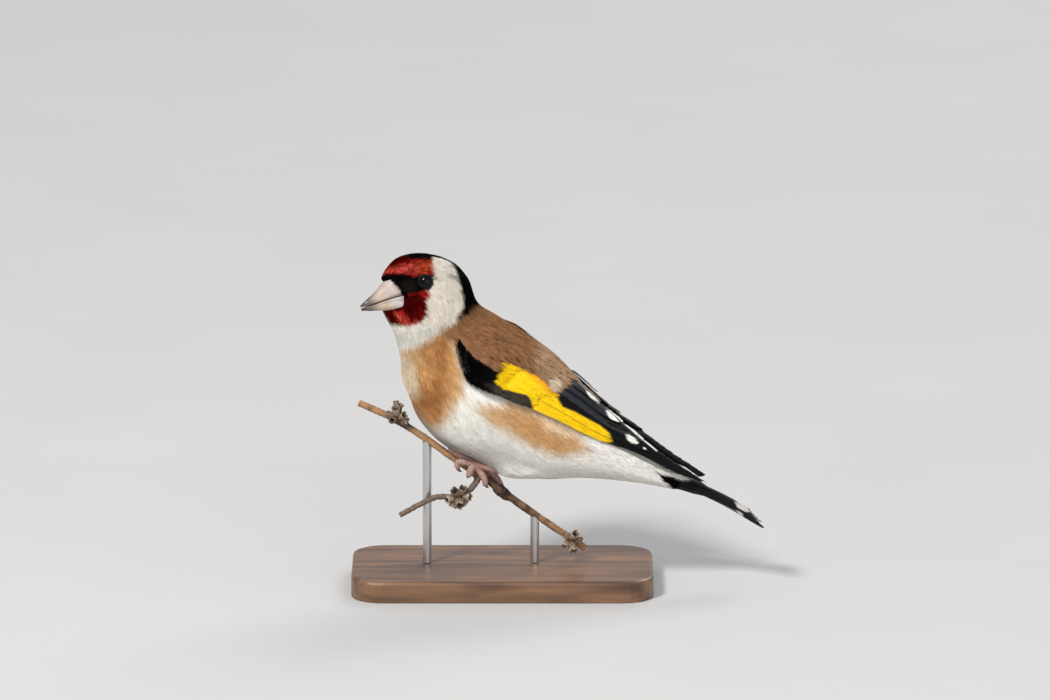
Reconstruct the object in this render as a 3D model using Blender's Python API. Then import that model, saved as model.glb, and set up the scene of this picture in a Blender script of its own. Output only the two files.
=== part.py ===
"""A life-size goldfinch gripping a cut length of twig, held by a plain display stand.

Lengths are millimetres in a design frame: the origin is the twig under the left foot, +X runs
towards the tail, -Y is the bird's left side and +Z is up. Every mesh is written in metres, in
the part's own frame, whose origin is the middle of the base's underside.
"""
import math

import bmesh
import bpy
import numpy as np

MM = 0.001
GAP = 0.3
GRIP_X = -9.0
GRIP_HEIGHT = 34.0

# Half outlines of head and body, in the bird's own plane before the head is turned: the key,
# the upper outline's x and z, the lower outline's x and z, the half width, and how far the
# sides lie behind the middle, where the face runs back along the bill.
BODY_STATIONS = (
    (0, -25.2, 54.3, -24.8, 44.9, 3.3, 4.2),
    (1, -23.9, 56.7, -23.6, 42.5, 4.4, 3.8),
    (2, -20.8, 59.6, -22.2, 39.9, 5.8, 2.4),
    (3, -15.9, 60.7, -20.9, 36.7, 7.6, 1.0),
    (4, -10.8, 60.2, -20.0, 33.4, 8.7, 0.2),
    (5, -5.4, 58.1, -19.4, 30.7, 9.3, 0.0),
    (6, -0.7, 52.9, -19.2, 27.9, 9.9, 0.0),
    (7, 1.9, 46.1, -18.9, 24.7, 11.2, 0.0),
    (8, 7.2, 42.4, -16.9, 19.8, 13.4, 0.0),
    (9, 15.0, 37.5, -13.9, 13.0, 14.9, 0.0),
    (10, 22.8, 32.2, -6.7, 5.8, 15.2, 0.0),
    (11, 28.9, 25.9, 5.4, 1.1, 14.3, 0.0),
    (12, 35.6, 18.0, 18.1, -3.2, 11.9, 0.0),
    (13, 43.9, 9.0, 31.9, -3.5, 8.6, 0.0),
    (14, 51.4, 2.5, 45.0, -4.7, 5.8, 0.0),
    (15, 57.8, -1.5, 55.3, -6.5, 4.2, 0.0),
)
BODY_STEP = 0.5
BODY_SIDES = 24
HEAD_YAW = math.radians(15.0)
HEAD_TURN_X = -7.0
HEAD_TURN_FROM = 7.2
HEAD_TURN_TO = 4.9

# The thin cuts that part head, neck and torso: a point of each cut, x and z, and their slope.
NAPE_CUT = (1.9, 46.1)
MANTLE_CUT = (8.3, 41.8)
CUT_TILT = math.radians(19.3)

EYE_CENTRE = (-14.0, 5.95, 53.7)
EYE_OUTWARD = (-2.9, 7.0, 1.6)
EYE_RADIUS = 2.3
LID_RADIUS = 1.95
LID_DEPTH = 1.35
LID_THICKNESS = 0.42
LID_FACES = (16, 5)

# The bill runs from the corner of the gape; the rows give the distance along it, the height
# of its ridge over the gape line, the depth below it, and the half width.
GAPE = (-20.2, 49.7)
BILL_SLOPE = math.radians(18.6)
BILL_ROWS = (
    (-3.0, 6.3, -4.6, 3.7),
    (0.6, 5.5, -4.3, 3.5),
    (3.4, 4.6, -3.65, 2.8),
    (6.4, 2.9, -2.7, 1.95),
    (9.0, 1.65, -1.8, 1.05),
    (10.7, 0.95, -1.1, 0.5),
    (11.4, 0.55, -0.85, 0.2),
)
BILL_OPENING = (0.16, 0.6)
BILL_STEPS = 12
BILL_SIDES = 10

# The folded wing lies on a sheet between two edges, in coordinates along the wing, across it
# and out from the bird's middle plane.
SHOULDER = (-3.0, 36.0)
WING_SLOPE = math.radians(28.8)
WING_LOW = (
    (-1.0, -0.2, 12.4),
    (2.2, -3.4, 14.4),
    (5.1, -5.8, 15.8),
    (10.2, -6.5, 16.8),
    (16.0, -5.6, 17.2),
    (25.7, -4.9, 16.4),
    (34.2, -4.5, 14.6),
    (46.9, -4.5, 10.9),
    (55.7, -3.4, 8.6),
    (64.0, -3.2, 7.2),
    (71.0, -3.2, 6.4),
    (78.0, -2.4, 5.6),
)
WING_HIGH = (
    (-1.0, 7.0, 10.0),
    (6.0, 9.3, 8.8),
    (14.0, 9.9, 7.8),
    (25.7, 9.0, 5.8),
    (34.4, 7.1, 4.4),
    (42.0, 4.6, 3.8),
    (49.6, 2.6, 3.8),
    (56.8, 1.4, 3.8),
    (64.2, 0.3, 3.7),
    (73.9, -0.7, 3.5),
    (78.0, -1.3, 3.4),
)
QUARTER_ARC = 1.11
WING_CORE_END = 54.0
WING_CORE_ROWS = 15
WING_CORE_COLUMNS = 6
WING_CORE_LIFT = -0.35
WING_CORE_DEPTH = 2.0
WING_CORE_EDGE = 0.5
WING_CORE_ROUNDING = 3.0
BODY_CLEARANCE = 0.35

# A vane's outline: how wide it is, as a part of its full width, at places from root to tip.
LONG_VANE = ((0.0, 0.8), (0.36, 1.0), (0.74, 0.96), (0.93, 0.64), (1.0, 0.14))
SHORT_VANE = ((0.0, 0.8), (0.5, 1.0), (0.86, 0.78), (1.0, 0.2))
VANE_THICKNESS = 0.5
VANE_TILT = 0.3

# Tiers of the folded wing. Each tier's feathers run evenly from its first to its last; the
# places are (along, across) from the lower edge, and lifts are at root and tip.
WING_TIERS = {
    "primaries": {"shape": LONG_VANE, "webs": (1.2, 2.8), "lifts": (-0.7, -0.05),
     "roots": ((22.0, 1.2), (24.0, 6.4)), "step": 0.09,
     "tips": ((79.4, 1.3), (78.2, 1.7), (75.4, 2.1), (71.4, 2.5), (67.4, 3.0),
                 (64.4, 3.4), (62.0, 3.9))},
    "secondaries": {"shape": LONG_VANE, "webs": (1.3, 3.0), "lifts": (-0.6, 0.6),
     "roots": ((16.0, 5.2), (17.0, 9.6)), "step": 0.09,
     "tips": ((60.4, 2.2), (59.4, 2.8), (58.4, 3.5), (57.2, 4.3), (55.6, 5.2))},
    "tertials": {"shape": LONG_VANE, "webs": (1.7, 3.0), "lifts": (-0.5, 1.05),
     "roots": ((16.0, 11.0), (14.0, 16.0)), "step": 0.14,
     "tips": ((57.8, 3.9), (50.2, 7.2), (41.8, 10.4))},
    "primary_coverts": {"shape": SHORT_VANE, "webs": (1.0, 1.8), "lifts": (-0.6, 0.35),
     "roots": ((9.0, 1.1), (10.0, 4.2)), "step": 0.08,
     "tips": ((25.6, 0.9), (26.4, 1.7), (26.6, 2.5), (26.2, 3.3))},
    "alula": {"shape": SHORT_VANE, "webs": (1.0, 1.6), "lifts": (-0.6, 0.7),
     "roots": ((5.5, 1.3), (6.0, 2.4)), "step": 0.1,
     "tips": ((19.6, 1.1), (16.8, 2.0))},
    "greater_coverts": {"shape": SHORT_VANE, "webs": (1.6, 2.2), "lifts": (-0.7, 0.75),
     "roots": ((12.5, 4.4), (13.0, 14.6)), "step": 0.05,
     "tips": ((27.6, 4.2), (29.8, 6.0), (31.0, 8.0), (30.6, 10.1), (29.0, 12.3), (26.4, 14.6))},
    "median_coverts": {"shape": SHORT_VANE, "webs": (1.7, 2.1), "lifts": (-0.6, 0.65),
     "roots": ((6.5, 3.6), (7.5, 14.8)), "step": 0.04,
     "tips": ((15.4, 3.6), (17.2, 6.2), (18.0, 9.0), (17.6, 11.9), (16.2, 14.8))},
}

TAIL_ROOT = (56.55, -4.0)
TAIL_SLOPE = math.radians(27.2)
TAIL_ROLL = math.radians(4.5)
TAIL_CAMBER = 0.9
TAIL_LENGTH = 28.4
TAIL_NOTCH = 5.2
TAIL_CORE = ((0.3, 3.9, 2.1), (4.0, 3.8, 1.4), (8.5, 3.2, 0.5))
TAIL_ROOF = 0.02
RECTRICES = 6
RECTRIX_WEBS = (1.15, 2.7)
RECTRIX_TILT = 0.22
RECTRIX_ROOT = 1.5
TAIL_SPREAD = ((0.5, 2.2), (1.2, 3.9))
TAIL_STACK = (1.35, 1.0)

TWIG_PATH = (
    (-31.0, 2.6, 17.3),
    (-25.0, 1.8, 14.8),
    (-20.8, 1.2, 12.9),
    (-16.1, 0.7, 10.1),
    (-10.6, 0.3, 6.4),
    (-5.0, 0.0, 2.4),
    (0.0, 0.0, -1.0),
    (5.6, 0.0, -4.7),
    (9.7, 0.2, -8.0),
    (16.7, 0.8, -13.2),
    (26.7, 2.2, -20.4),
    (32.0, 3.0, -24.2),
)
TWIG_RADIUS = 1.1
TWIG_SIDES = 8
TWIG_ROWS = 26
TWIG_RUN = 0.83
KNOT = (6.5, 11.5)
KNOT_SHAPE = (0.7, 1.35, 1.5, 1.3, 0.7)
SIDE_RADIUS = 0.8
SIDE_STEM = (
    (0, 2.6, -0.3, -2.9),
    (1, 0.6, -0.7, -6.0),
    (2, -3.4, -1.3, -8.6),
    (3, -9.4, -2.6, -8.4),
    (4, -14.4, -3.2, -10.6),
    (5, -19.6, -3.4, -13.4),
)
BUD_LENGTH = 3.4
BUD_RADIUS = 1.15
BUD_STEP = 0.75
BUD_SHAPE = ((0.0, 0.4), (0.35, 1.0), (0.75, 0.95), (1.05, 0.25))
BUD_CLUSTERS = (
    ((-20.4, 1.2, 13.2), (0.15, -0.1, 1.0), 5, 0.8),
    ((-1.6, -1.0, -7.6), (-0.8, -0.1, -0.5), 6, 0.9),
    ((28.0, 2.4, -21.4), (0.5, -0.1, 0.6), 4, 0.9),
)

# Places on a foot: along the twig from the grip's origin, round it in degrees from its top,
# and out from its centre. Each toe ends in its claw.
TOE_RADIUS = 0.78
GRIP = TWIG_RADIUS + GAP + TOE_RADIUS
ANKLE = (0.0, 35.0, 2.9)
ANKLE_RADIUS = 1.05
GRIP_ORIGIN = {-1: 0.0, 1: 4.6}
TOES = (
    ((0.0, 35.0, 2.75), (2.6, 27.0, GRIP + 0.15), (5.4, 27.0, GRIP), (7.6, 28.0, GRIP),
     (8.8, 29.0, GRIP + 0.25), (9.9, 31.0, GRIP - 0.2)),
    ((0.0, 42.0, 2.75), (2.2, 52.0, GRIP + 0.15), (3.9, 78.0, GRIP), (3.9, 108.0, GRIP),
     (2.8, 132.0, GRIP + 0.2), (1.6, 148.0, GRIP - 0.1)),
    ((0.0, 48.0, 2.75), (0.0, 76.0, GRIP + 0.15), (-0.3, 106.0, GRIP), (-0.4, 126.0, GRIP),
     (-0.5, 143.0, GRIP + 0.2), (-0.6, 158.0, GRIP - 0.1)),
    ((0.0, 40.0, 2.75), (-2.3, 52.0, GRIP + 0.15), (-4.2, 76.0, GRIP), (-5.2, 98.0, GRIP),
     (-6.2, 118.0, GRIP + 0.25), (-7.2, 134.0, GRIP - 0.2)),
)
TOE_RADII = (0.95, 0.84, 0.78, 0.72, 0.42, 0.1)
TOE_SIDES = 6
TOE_STEPS = 10
HEEL = {-1: (13.0, -7.4, -1.3), 1: (16.0, 7.4, -2.2)}
THIGH = {-1: (13.0, -6.0, 2.0), 1: (16.0, 6.0, 1.0)}
THIGH_RADII = (8.0, 4.4, 4.8)
TARSUS_RADIUS = 1.0

BASE_SIZE = (84.0, 46.0, 6.0)
BASE_CORNER = 9.0
BASE_EDGE = 0.8
BASE_FOOT = 0.3
BASE_ARC = 6
ROD_RADIUS = 1.25
ROD_PLACES = {"stand_rod_front": -12.0, "stand_rod_back": 18.0}


def clear_scene():
    """Removes every object that the scene starts with."""
    for item in list(bpy.data.objects):
        bpy.data.objects.remove(item, do_unlink=True)


def make_material(name, colour, roughness, metallic=0.0):
    """A plain Principled finish."""
    material = bpy.data.materials.new(name)
    material.use_nodes = True
    shader = material.node_tree.nodes["Principled BSDF"]
    shader.inputs["Base Color"].default_value = (*colour, 1.0)
    shader.inputs["Roughness"].default_value = roughness
    shader.inputs["Metallic"].default_value = metallic
    material.diffuse_color = (*colour, 1.0)
    return material


def smooth(table, key):
    """Values at a key on the smooth curve through a table whose first column is the key."""
    rows = np.asarray(table, float)
    keys = rows[:, 0]
    values = rows[:, 1:]
    key = float(np.clip(key, keys[0], keys[-1]))
    i = min(int(np.searchsorted(keys, key, side="right")) - 1, len(keys) - 2)
    span = keys[i + 1] - keys[i]
    u = (key - keys[i]) / span
    slopes = np.gradient(values, keys, axis=0)
    start = (1 + 2 * u) * (1 - u) ** 2 * values[i] + u * (1 - u) ** 2 * span * slopes[i]
    end = u * u * (3 - 2 * u) * values[i + 1] + u * u * (u - 1) * span * slopes[i + 1]
    return start + end


def ease(u):
    """A smooth step from 0 to 1."""
    u = min(max(u, 0.0), 1.0)
    return u * u * (3 - 2 * u)


def unit(vector):
    """The vector at length 1."""
    return vector / np.linalg.norm(vector)


def mesh_object(name, points, faces, material):
    """An object from points in the design frame, with its faces turned outwards."""
    shift = np.array([GRIP_X, 0.0, GRIP_HEIGHT])
    mesh = bpy.data.meshes.new(name)
    mesh.from_pydata(((np.asarray(points, float) + shift) * MM).tolist(), [], faces)
    work = bmesh.new()
    work.from_mesh(mesh)
    bmesh.ops.recalc_face_normals(work, faces=work.faces)
    if work.calc_volume(signed=True) < 0:
        bmesh.ops.reverse_faces(work, faces=work.faces)
    work.to_mesh(mesh)
    work.free()
    mesh.materials.append(material)
    item = bpy.data.objects.new(name, mesh)
    bpy.context.scene.collection.objects.link(item)
    return item


def loft(name, rings, material):
    """A closed body through rings of points, with a fan over each end ring."""
    count = len(rings[0])
    points = [point for ring in rings for point in ring]
    faces = []
    for row in range(len(rings) - 1):
        for k in range(count):
            a = row * count + k
            b = row * count + (k + 1) % count
            faces += [(a, b, b + count), (a, b + count, a + count)]
    for row in (0, len(rings) - 1):
        hub = len(points)
        points.append(np.mean(rings[row], axis=0))
        faces += [(hub, row * count + k, row * count + (k + 1) % count) for k in range(count)]
    return mesh_object(name, points, faces, material)


def slab(name, top, bottom, material):
    """A closed plate between two grids of points, split into triangles alike on both faces."""
    rows = len(top)
    columns = len(top[0])
    points = [point for grid in (top, bottom) for row in grid for point in row]
    faces = []
    for base in (0, rows * columns):
        for r in range(rows - 1):
            for c in range(columns - 1):
                a = base + r * columns + c
                b = a + columns
                faces += [(a, b, b + 1), (a, b + 1, a + 1)]
    border = [(0, c) for c in range(columns)]
    border += [(r, columns - 1) for r in range(1, rows)]
    border += [(rows - 1, c) for c in range(columns - 2, -1, -1)]
    border += [(r, 0) for r in range(rows - 2, 0, -1)]
    for (r0, c0), (r1, c1) in zip(border, border[1:] + border[:1]):
        a = r0 * columns + c0
        b = r1 * columns + c1
        faces += [(a, b, b + rows * columns), (a, b + rows * columns, a + rows * columns)]
    return mesh_object(name, points, faces, material)


def tube(name, points, radii, material, sides=8):
    """A closed round body along a path, with its own radius at each point."""
    points = [np.asarray(point, float) for point in points]
    rings = []
    across = None
    for k, point in enumerate(points):
        ahead = unit(points[min(k + 1, len(points) - 1)] - points[max(k - 1, 0)])
        if across is None:
            across = np.cross(ahead, (0.0, 0.0, 1.0) if abs(ahead[2]) < 0.9 else (1.0, 0.0, 0.0))
        across = unit(across - ahead * np.dot(across, ahead))
        other = np.cross(ahead, across)
        turns = [2 * math.pi * n / sides for n in range(sides)]
        rings.append([point + radii[k] * (math.cos(a) * across + math.sin(a) * other)
                      for a in turns])
    return loft(name, rings, material)


def ball(name, centre, radii, material, sides=16, rings=10):
    """A closed ellipsoid."""
    rows = []
    for r in range(1, rings):
        polar = math.pi * r / rings
        rows.append([(centre[0] + radii[0] * math.sin(polar) * math.cos(2 * math.pi * n / sides),
                      centre[1] + radii[1] * math.sin(polar) * math.sin(2 * math.pi * n / sides),
                      centre[2] + radii[2] * math.cos(polar)) for n in range(sides)])
    item = loft(name, rows, material)
    points = item.data.vertices
    shift = np.array([GRIP_X, 0.0, GRIP_HEIGHT])
    for vertex, rise in ((points[len(points) - 2], radii[2]), (points[len(points) - 1], -radii[2])):
        vertex.co = (np.array([centre[0], centre[1], centre[2] + rise]) + shift) * MM
    return item


def remove(item):
    """Takes an object and its mesh away."""
    mesh = item.data
    bpy.data.objects.remove(item, do_unlink=True)
    if mesh.users == 0:
        bpy.data.meshes.remove(mesh)


def combine(target, operation, tools, solver="EXACT"):
    """Joins tools to the target, or cuts them out of it, and takes the tools away."""
    group = bpy.data.collections.new("tools")
    for tool in tools:
        group.objects.link(tool)
    modifier = target.modifiers.new("combine", "BOOLEAN")
    modifier.operation = operation
    modifier.operand_type = "COLLECTION"
    modifier.collection = group
    modifier.solver = solver
    graph = bpy.context.evaluated_depsgraph_get()
    result = bpy.data.meshes.new_from_object(target.evaluated_get(graph))
    target.modifiers.clear()
    old = target.data
    target.data = result
    bpy.data.meshes.remove(old)
    result.name = target.name
    bpy.data.collections.remove(group)
    for tool in tools:
        remove(tool)
    keep_largest(target)
    return target


def keep_largest(item):
    """Keeps an object's largest closed surface."""
    work = bmesh.new()
    work.from_mesh(item.data)
    bmesh.ops.triangulate(work, faces=work.faces)
    unseen = set(work.faces)
    islands = []
    while unseen:
        stack = [unseen.pop()]
        island = []
        while stack:
            face = stack.pop()
            island.append(face)
            for edge in face.edges:
                for other in edge.link_faces:
                    if other in unseen:
                        unseen.remove(other)
                        stack.append(other)
        islands.append(island)
    islands.sort(key=lambda faces: sum(face.calc_area() for face in faces))
    scraps = [face for island in islands[:-1] for face in island]
    bmesh.ops.delete(work, geom=scraps, context="FACES")
    loose = [vertex for vertex in work.verts if not vertex.link_faces]
    bmesh.ops.delete(work, geom=loose, context="VERTS")
    work.to_mesh(item.data)
    work.free()


def shade(item, angle=40.0):
    """Smooth shading, but for edges sharper than the angle in degrees."""
    item.data.shade_smooth()
    item.data.set_sharp_from_angle(angle=math.radians(angle))


def turn_head(point, weight=1.0):
    """A point of the head, turned towards the bird's left about the neck."""
    yaw = HEAD_YAW * weight
    ahead = point[0] - HEAD_TURN_X
    return np.array([HEAD_TURN_X + ahead * math.cos(yaw) - point[1] * math.sin(yaw),
                     ahead * math.sin(yaw) + point[1] * math.cos(yaw), point[2]])


def body_point(key, angle, grow=0.0):
    """A point of the body's surface; the angle runs from the back round to the belly."""
    high_x, high_z, low_x, low_z, width, sweep = smooth(BODY_STATIONS, key)
    half_x = (high_x - low_x) / 2
    half_z = (high_z - low_z) / 2
    reach = (1 + grow / math.hypot(half_x, half_z)) * math.cos(angle)
    point = ((high_x + low_x) / 2 + half_x * reach + sweep * math.sin(angle) ** 2,
             (width + grow) * math.sin(angle),
             (high_z + low_z) / 2 + half_z * reach)
    weight = ease((HEAD_TURN_FROM - key) / (HEAD_TURN_FROM - HEAD_TURN_TO))
    return turn_head(point, weight)


def body_solid(name, material, grow=0.0):
    """Head, neck and torso in one closed body."""
    last = BODY_STATIONS[-1][0]
    rings = []
    for k in range(int(last / BODY_STEP) + 1):
        rings.append([body_point(k * BODY_STEP, 2 * math.pi * n / BODY_SIDES, grow)
                      for n in range(BODY_SIDES)])
    if grow:
        ahead = np.array([-math.cos(HEAD_YAW), -math.sin(HEAD_YAW), 0.0]) * grow
        behind = np.array([math.cos(TAIL_SLOPE), 0.0, -math.sin(TAIL_SLOPE)]) * grow
        rings[0] = [point + ahead for point in rings[0]]
        rings[-1] = [point + behind for point in rings[-1]]
    return loft(name, rings, material)


def cut_piece(name, source, cuts, material):
    """A copy of a body between thin cuts; each cut keeps the side away from its normal."""
    work = bmesh.new()
    work.from_mesh(source.data)
    shift = np.array([GRIP_X, 0.0, GRIP_HEIGHT])
    for point, normal in cuts:
        everything = work.verts[:] + work.edges[:] + work.faces[:]
        place = (np.array([point[0], 0.0, point[1]]) + shift) * MM
        result = bmesh.ops.bisect_plane(work, geom=everything, dist=1e-9, plane_co=place,
                                        plane_no=normal, clear_outer=True)
        rim = [item for item in result["geom_cut"] if isinstance(item, bmesh.types.BMEdge)]
        bmesh.ops.contextual_create(work, geom=rim)
    bmesh.ops.triangulate(work, faces=work.faces)
    bmesh.ops.recalc_face_normals(work, faces=work.faces)
    mesh = bpy.data.meshes.new(name)
    work.to_mesh(mesh)
    work.free()
    mesh.materials.append(material)
    item = bpy.data.objects.new(name, mesh)
    bpy.context.scene.collection.objects.link(item)
    return item


def eye_place(side):
    """Centre of an eye and the direction that it looks in; side is -1 on the left."""
    mirror = np.array([1.0, side, 1.0])
    centre = turn_head(np.array(EYE_CENTRE) * mirror)
    outward = turn_head((np.array(EYE_CENTRE) + np.array(EYE_OUTWARD)) * mirror)
    return centre, unit(outward - centre)


def make_eye(name, side, material):
    """One eyeball."""
    centre, _ = eye_place(side)
    return ball(name, centre, (EYE_RADIUS,) * 3, material, 14, 8)


def lid_ring(side, material):
    """The ring of bare lid round one eye."""
    centre, outward = eye_place(side)
    across = unit(np.cross(outward, (0.0, 0.0, 1.0)))
    upward = np.cross(across, outward)
    around, sides = LID_FACES
    points = []
    faces = []
    for k in range(around):
        turn = 2 * math.pi * k / around
        spoke = math.cos(turn) * across + math.sin(turn) * upward
        for n in range(sides):
            roll = 2 * math.pi * n / sides
            points.append(centre + outward * (LID_DEPTH + LID_THICKNESS * math.sin(roll))
                          + spoke * (LID_RADIUS + LID_THICKNESS * math.cos(roll)))
            a = k * sides + n
            b = k * sides + (n + 1) % sides
            c = (k + 1) % around * sides + (n + 1) % sides
            d = (k + 1) % around * sides + n
            faces += [(a, b, c), (a, c, d)]
    return mesh_object("lid", points, faces, material)


def bill_point(along, up, out):
    """A point in the bill's own frame, on the turned head."""
    x = GAPE[0] - along * math.cos(BILL_SLOPE) - up * math.sin(BILL_SLOPE)
    z = GAPE[1] - along * math.sin(BILL_SLOPE) + up * math.cos(BILL_SLOPE)
    return turn_head((x, out, z))


def make_bill(name, upper, material):
    """One half of the bill, open a little at its tip."""
    first, last = BILL_ROWS[0][0], BILL_ROWS[-1][0]
    rings = []
    for k in range(BILL_STEPS + 1):
        along = first + (last - first) * k / BILL_STEPS
        ridge, keel, width = smooth(BILL_ROWS, along)
        open_here = BILL_OPENING[0] + (BILL_OPENING[1] - BILL_OPENING[0]) * max(along, 0) / last
        ring = []
        for n in range(BILL_SIDES + 1):
            turn = math.pi * n / BILL_SIDES
            height = (ridge - open_here) if upper else (keel + open_here)
            rise = math.copysign(open_here, height) + height * math.sin(turn) ** 0.8
            ring.append(bill_point(along, rise, width * math.cos(turn)))
        rings.append(ring)
    return loft(name, rings, material)


def wing_width(along):
    """How wide the wing's curved sheet is at a place along it."""
    low_n, low_y = smooth(WING_LOW, along)
    high_n, high_y = smooth(WING_HIGH, along)
    return QUARTER_ARC * math.hypot(high_n - low_n, high_y - low_y)


def wing_sheet(along, across):
    """A point of the folded wing's sheet, on the right; across is in mm from its lower edge."""
    low_n, low_y = smooth(WING_LOW, along)
    high_n, high_y = smooth(WING_HIGH, along)
    length = wing_width(along)
    v = across / length
    held = min(max(v, 0.0), 1.0)
    n = low_n + (high_n - low_n) * math.sin(math.pi * held / 2)
    y = high_y + (low_y - high_y) * math.cos(math.pi * held / 2)
    if v > 1:
        y -= across - length
    elif v < 0:
        n += across
    x = SHOULDER[0] + along * math.cos(WING_SLOPE) + n * math.sin(WING_SLOPE)
    z = SHOULDER[1] - along * math.sin(WING_SLOPE) + n * math.cos(WING_SLOPE)
    return np.array([x, y, z])


def wing_point(side, along, across, lift):
    """A point raised from the wing's sheet, on one side of the bird."""
    here = wing_sheet(along, across)
    ahead = wing_sheet(along + 0.5, across) - wing_sheet(along - 0.5, across)
    over = wing_sheet(along, across + 0.5) - wing_sheet(along, across - 0.5)
    normal = unit(np.cross(ahead, over))
    if normal[1] < 0:
        normal = -normal
    point = here + normal * lift
    return np.array([point[0], side * point[1], point[2]])


def wing_core(side, material):
    """The wing's smooth body, which the feathers are rooted in."""
    start = WING_LOW[0][0]
    top = []
    bottom = []
    for r in range(WING_CORE_ROWS + 1):
        along = start + (WING_CORE_END - start) * r / WING_CORE_ROWS
        width = wing_width(along)
        front = min(1.0, (r + 0.4) / WING_CORE_ROUNDING)
        full = front ** 0.5
        thin = 1.0 - 0.85 * ease((along - 24.0) / 26.0)
        low = WING_CORE_EDGE + 0.5 * width * (1 - full)
        high = 0.5 * width * (1 + full) * (1 - 0.55 * ease((along - 38.0) / 16.0))
        top_row = []
        bottom_row = []
        for c in range(WING_CORE_COLUMNS + 1):
            across = low + (high - low) * c / WING_CORE_COLUMNS
            rim = math.sin(math.pi * c / WING_CORE_COLUMNS) ** 0.5 * front
            lift = WING_CORE_LIFT - WING_CORE_EDGE * (1 - rim)
            depth = WING_CORE_EDGE + (0.2 + WING_CORE_DEPTH * rim) * thin
            top_row.append(wing_point(side, along, across, lift))
            bottom_row.append(wing_point(side, along, across, lift - depth))
        top.append(top_row)
        bottom.append(bottom_row)
    return slab("core", top, bottom, material)


def wing_vane(side, root, tip, tier, rise, material):
    """One feather of the folded wing, its lower web raised over the feather before it."""
    top = []
    bottom = []
    for u, full in tier["shape"]:
        along = root[0] + (tip[0] - root[0]) * u
        across = root[1] + (tip[1] - root[1]) * u
        lift = tier["lifts"][0] + (tier["lifts"][1] + rise - tier["lifts"][0]) * u
        thick = VANE_THICKNESS * (1.0 if u < 1 else 0.7)
        places = [(across - tier["webs"][0] * full, lift + VANE_TILT * full * 0.5),
                  (across + tier["webs"][1] * full, lift - VANE_TILT * full)]
        top.append([wing_point(side, along, place, height) for place, height in places])
        bottom.append([wing_point(side, along, place, height - thick)
                       for place, height in places])
    return slab("vane", top, bottom, material)


def tier_feathers(tier):
    """Root, tip and rise of each feather of a tier."""
    first, last = tier["roots"]
    count = len(tier["tips"])
    for k, tip in enumerate(tier["tips"]):
        share = k / (count - 1)
        root = (first[0] + (last[0] - first[0]) * share, first[1] + (last[1] - first[1]) * share)
        yield root, tip, tier["step"] * k


def make_wing(name, side, material):
    """One folded wing with its tiers of feathers, clear of the body that it lies on."""
    wing = wing_core(side, material)
    wing.name = name
    vanes = [wing_vane(side, root, tip, tier, rise, material)
             for tier in WING_TIERS.values() for root, tip, rise in tier_feathers(tier)]
    combine(wing, "UNION", vanes, "MANIFOLD")
    cutter = body_solid("cutter", material, BODY_CLEARANCE)
    return combine(wing, "DIFFERENCE", [cutter], "MANIFOLD")


def tail_point(along, out, up):
    """A point in the tail's own frame."""
    arch = TAIL_CAMBER * math.sin(math.pi * min(max(along / TAIL_LENGTH, 0.0), 1.0))
    up = up + arch - TAIL_ROOF * out * out
    up, out = (up * math.cos(TAIL_ROLL) - out * math.sin(TAIL_ROLL),
               out * math.cos(TAIL_ROLL) + up * math.sin(TAIL_ROLL))
    x = TAIL_ROOT[0] + along * math.cos(TAIL_SLOPE) + up * math.sin(TAIL_SLOPE)
    z = TAIL_ROOT[1] - along * math.sin(TAIL_SLOPE) + up * math.cos(TAIL_SLOPE)
    return np.array([x, out, z])


def tail_vane(side, k, material):
    """One tail feather; the middle pair, 0, lies on top and the outermost is the longest."""
    share = k / (RECTRICES - 1)
    tip = TAIL_LENGTH - TAIL_NOTCH * (1 - share ** 1.6)
    outs = (TAIL_SPREAD[0][0] + TAIL_SPREAD[0][1] * share,
            TAIL_SPREAD[1][0] + TAIL_SPREAD[1][1] * share)
    ups = (TAIL_STACK[0] - TAIL_STACK[0] * share, TAIL_STACK[1] - TAIL_STACK[1] * share)
    top = []
    bottom = []
    for u, full in LONG_VANE:
        along = RECTRIX_ROOT + (tip - RECTRIX_ROOT) * u
        out = outs[0] + (outs[1] - outs[0]) * u
        up = ups[0] + (ups[1] - ups[0]) * u + 0.03 * side
        thick = VANE_THICKNESS * (1.0 if u < 1 else 0.7)
        places = [(out + RECTRIX_WEBS[0] * full, up - RECTRIX_TILT * full * 0.5),
                  (out - RECTRIX_WEBS[1] * full, up + RECTRIX_TILT * full)]
        top.append([tail_point(along, side * place, height) for place, height in places])
        bottom.append([tail_point(along, side * place, height - thick)
                       for place, height in places])
    return slab("vane", top, bottom, material)


def make_tail(name, material):
    """The tail: a core under the coverts and its feathers."""
    top = []
    bottom = []
    for along, width, thick in TAIL_CORE:
        outs = [width * n / 3 for n in range(-3, 4)]
        top.append([tail_point(along, out, thick * (1 - 0.5 * (out / width) ** 4)) for out in outs])
        bottom.append([tail_point(along, out, -thick * (1 - 0.5 * (out / width) ** 4))
                       for out in outs])
    tail = slab(name, top, bottom, material)
    vanes = [tail_vane(side, k, material) for side in (-1, 1) for k in range(RECTRICES)]
    return combine(tail, "UNION", vanes, "MANIFOLD")


def twig_frame(x):
    """A place on the twig: its centre, the way up along it, and the way out of its top."""
    y, z = smooth(TWIG_PATH, x)
    y0, z0 = smooth(TWIG_PATH, x + 0.5)
    y1, z1 = smooth(TWIG_PATH, x - 0.5)
    ahead = unit(np.array([-1.0, y1 - y0, z1 - z0]))
    top = unit(np.cross(ahead, (0.0, 1.0, 0.0)))
    if top[2] < 0:
        top = -top
    return np.array([x, y, z]), ahead, top


def twig_tube(name, material, grow=0.0):
    """The main stem of the twig."""
    first, last = TWIG_PATH[0][0], TWIG_PATH[-1][0]
    places = [first + (last - first) * k / TWIG_ROWS for k in range(TWIG_ROWS + 1)]
    points = [twig_frame(x)[0] for x in places]
    return tube(name, points, [TWIG_RADIUS + grow] * len(points), material, TWIG_SIDES)


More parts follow.
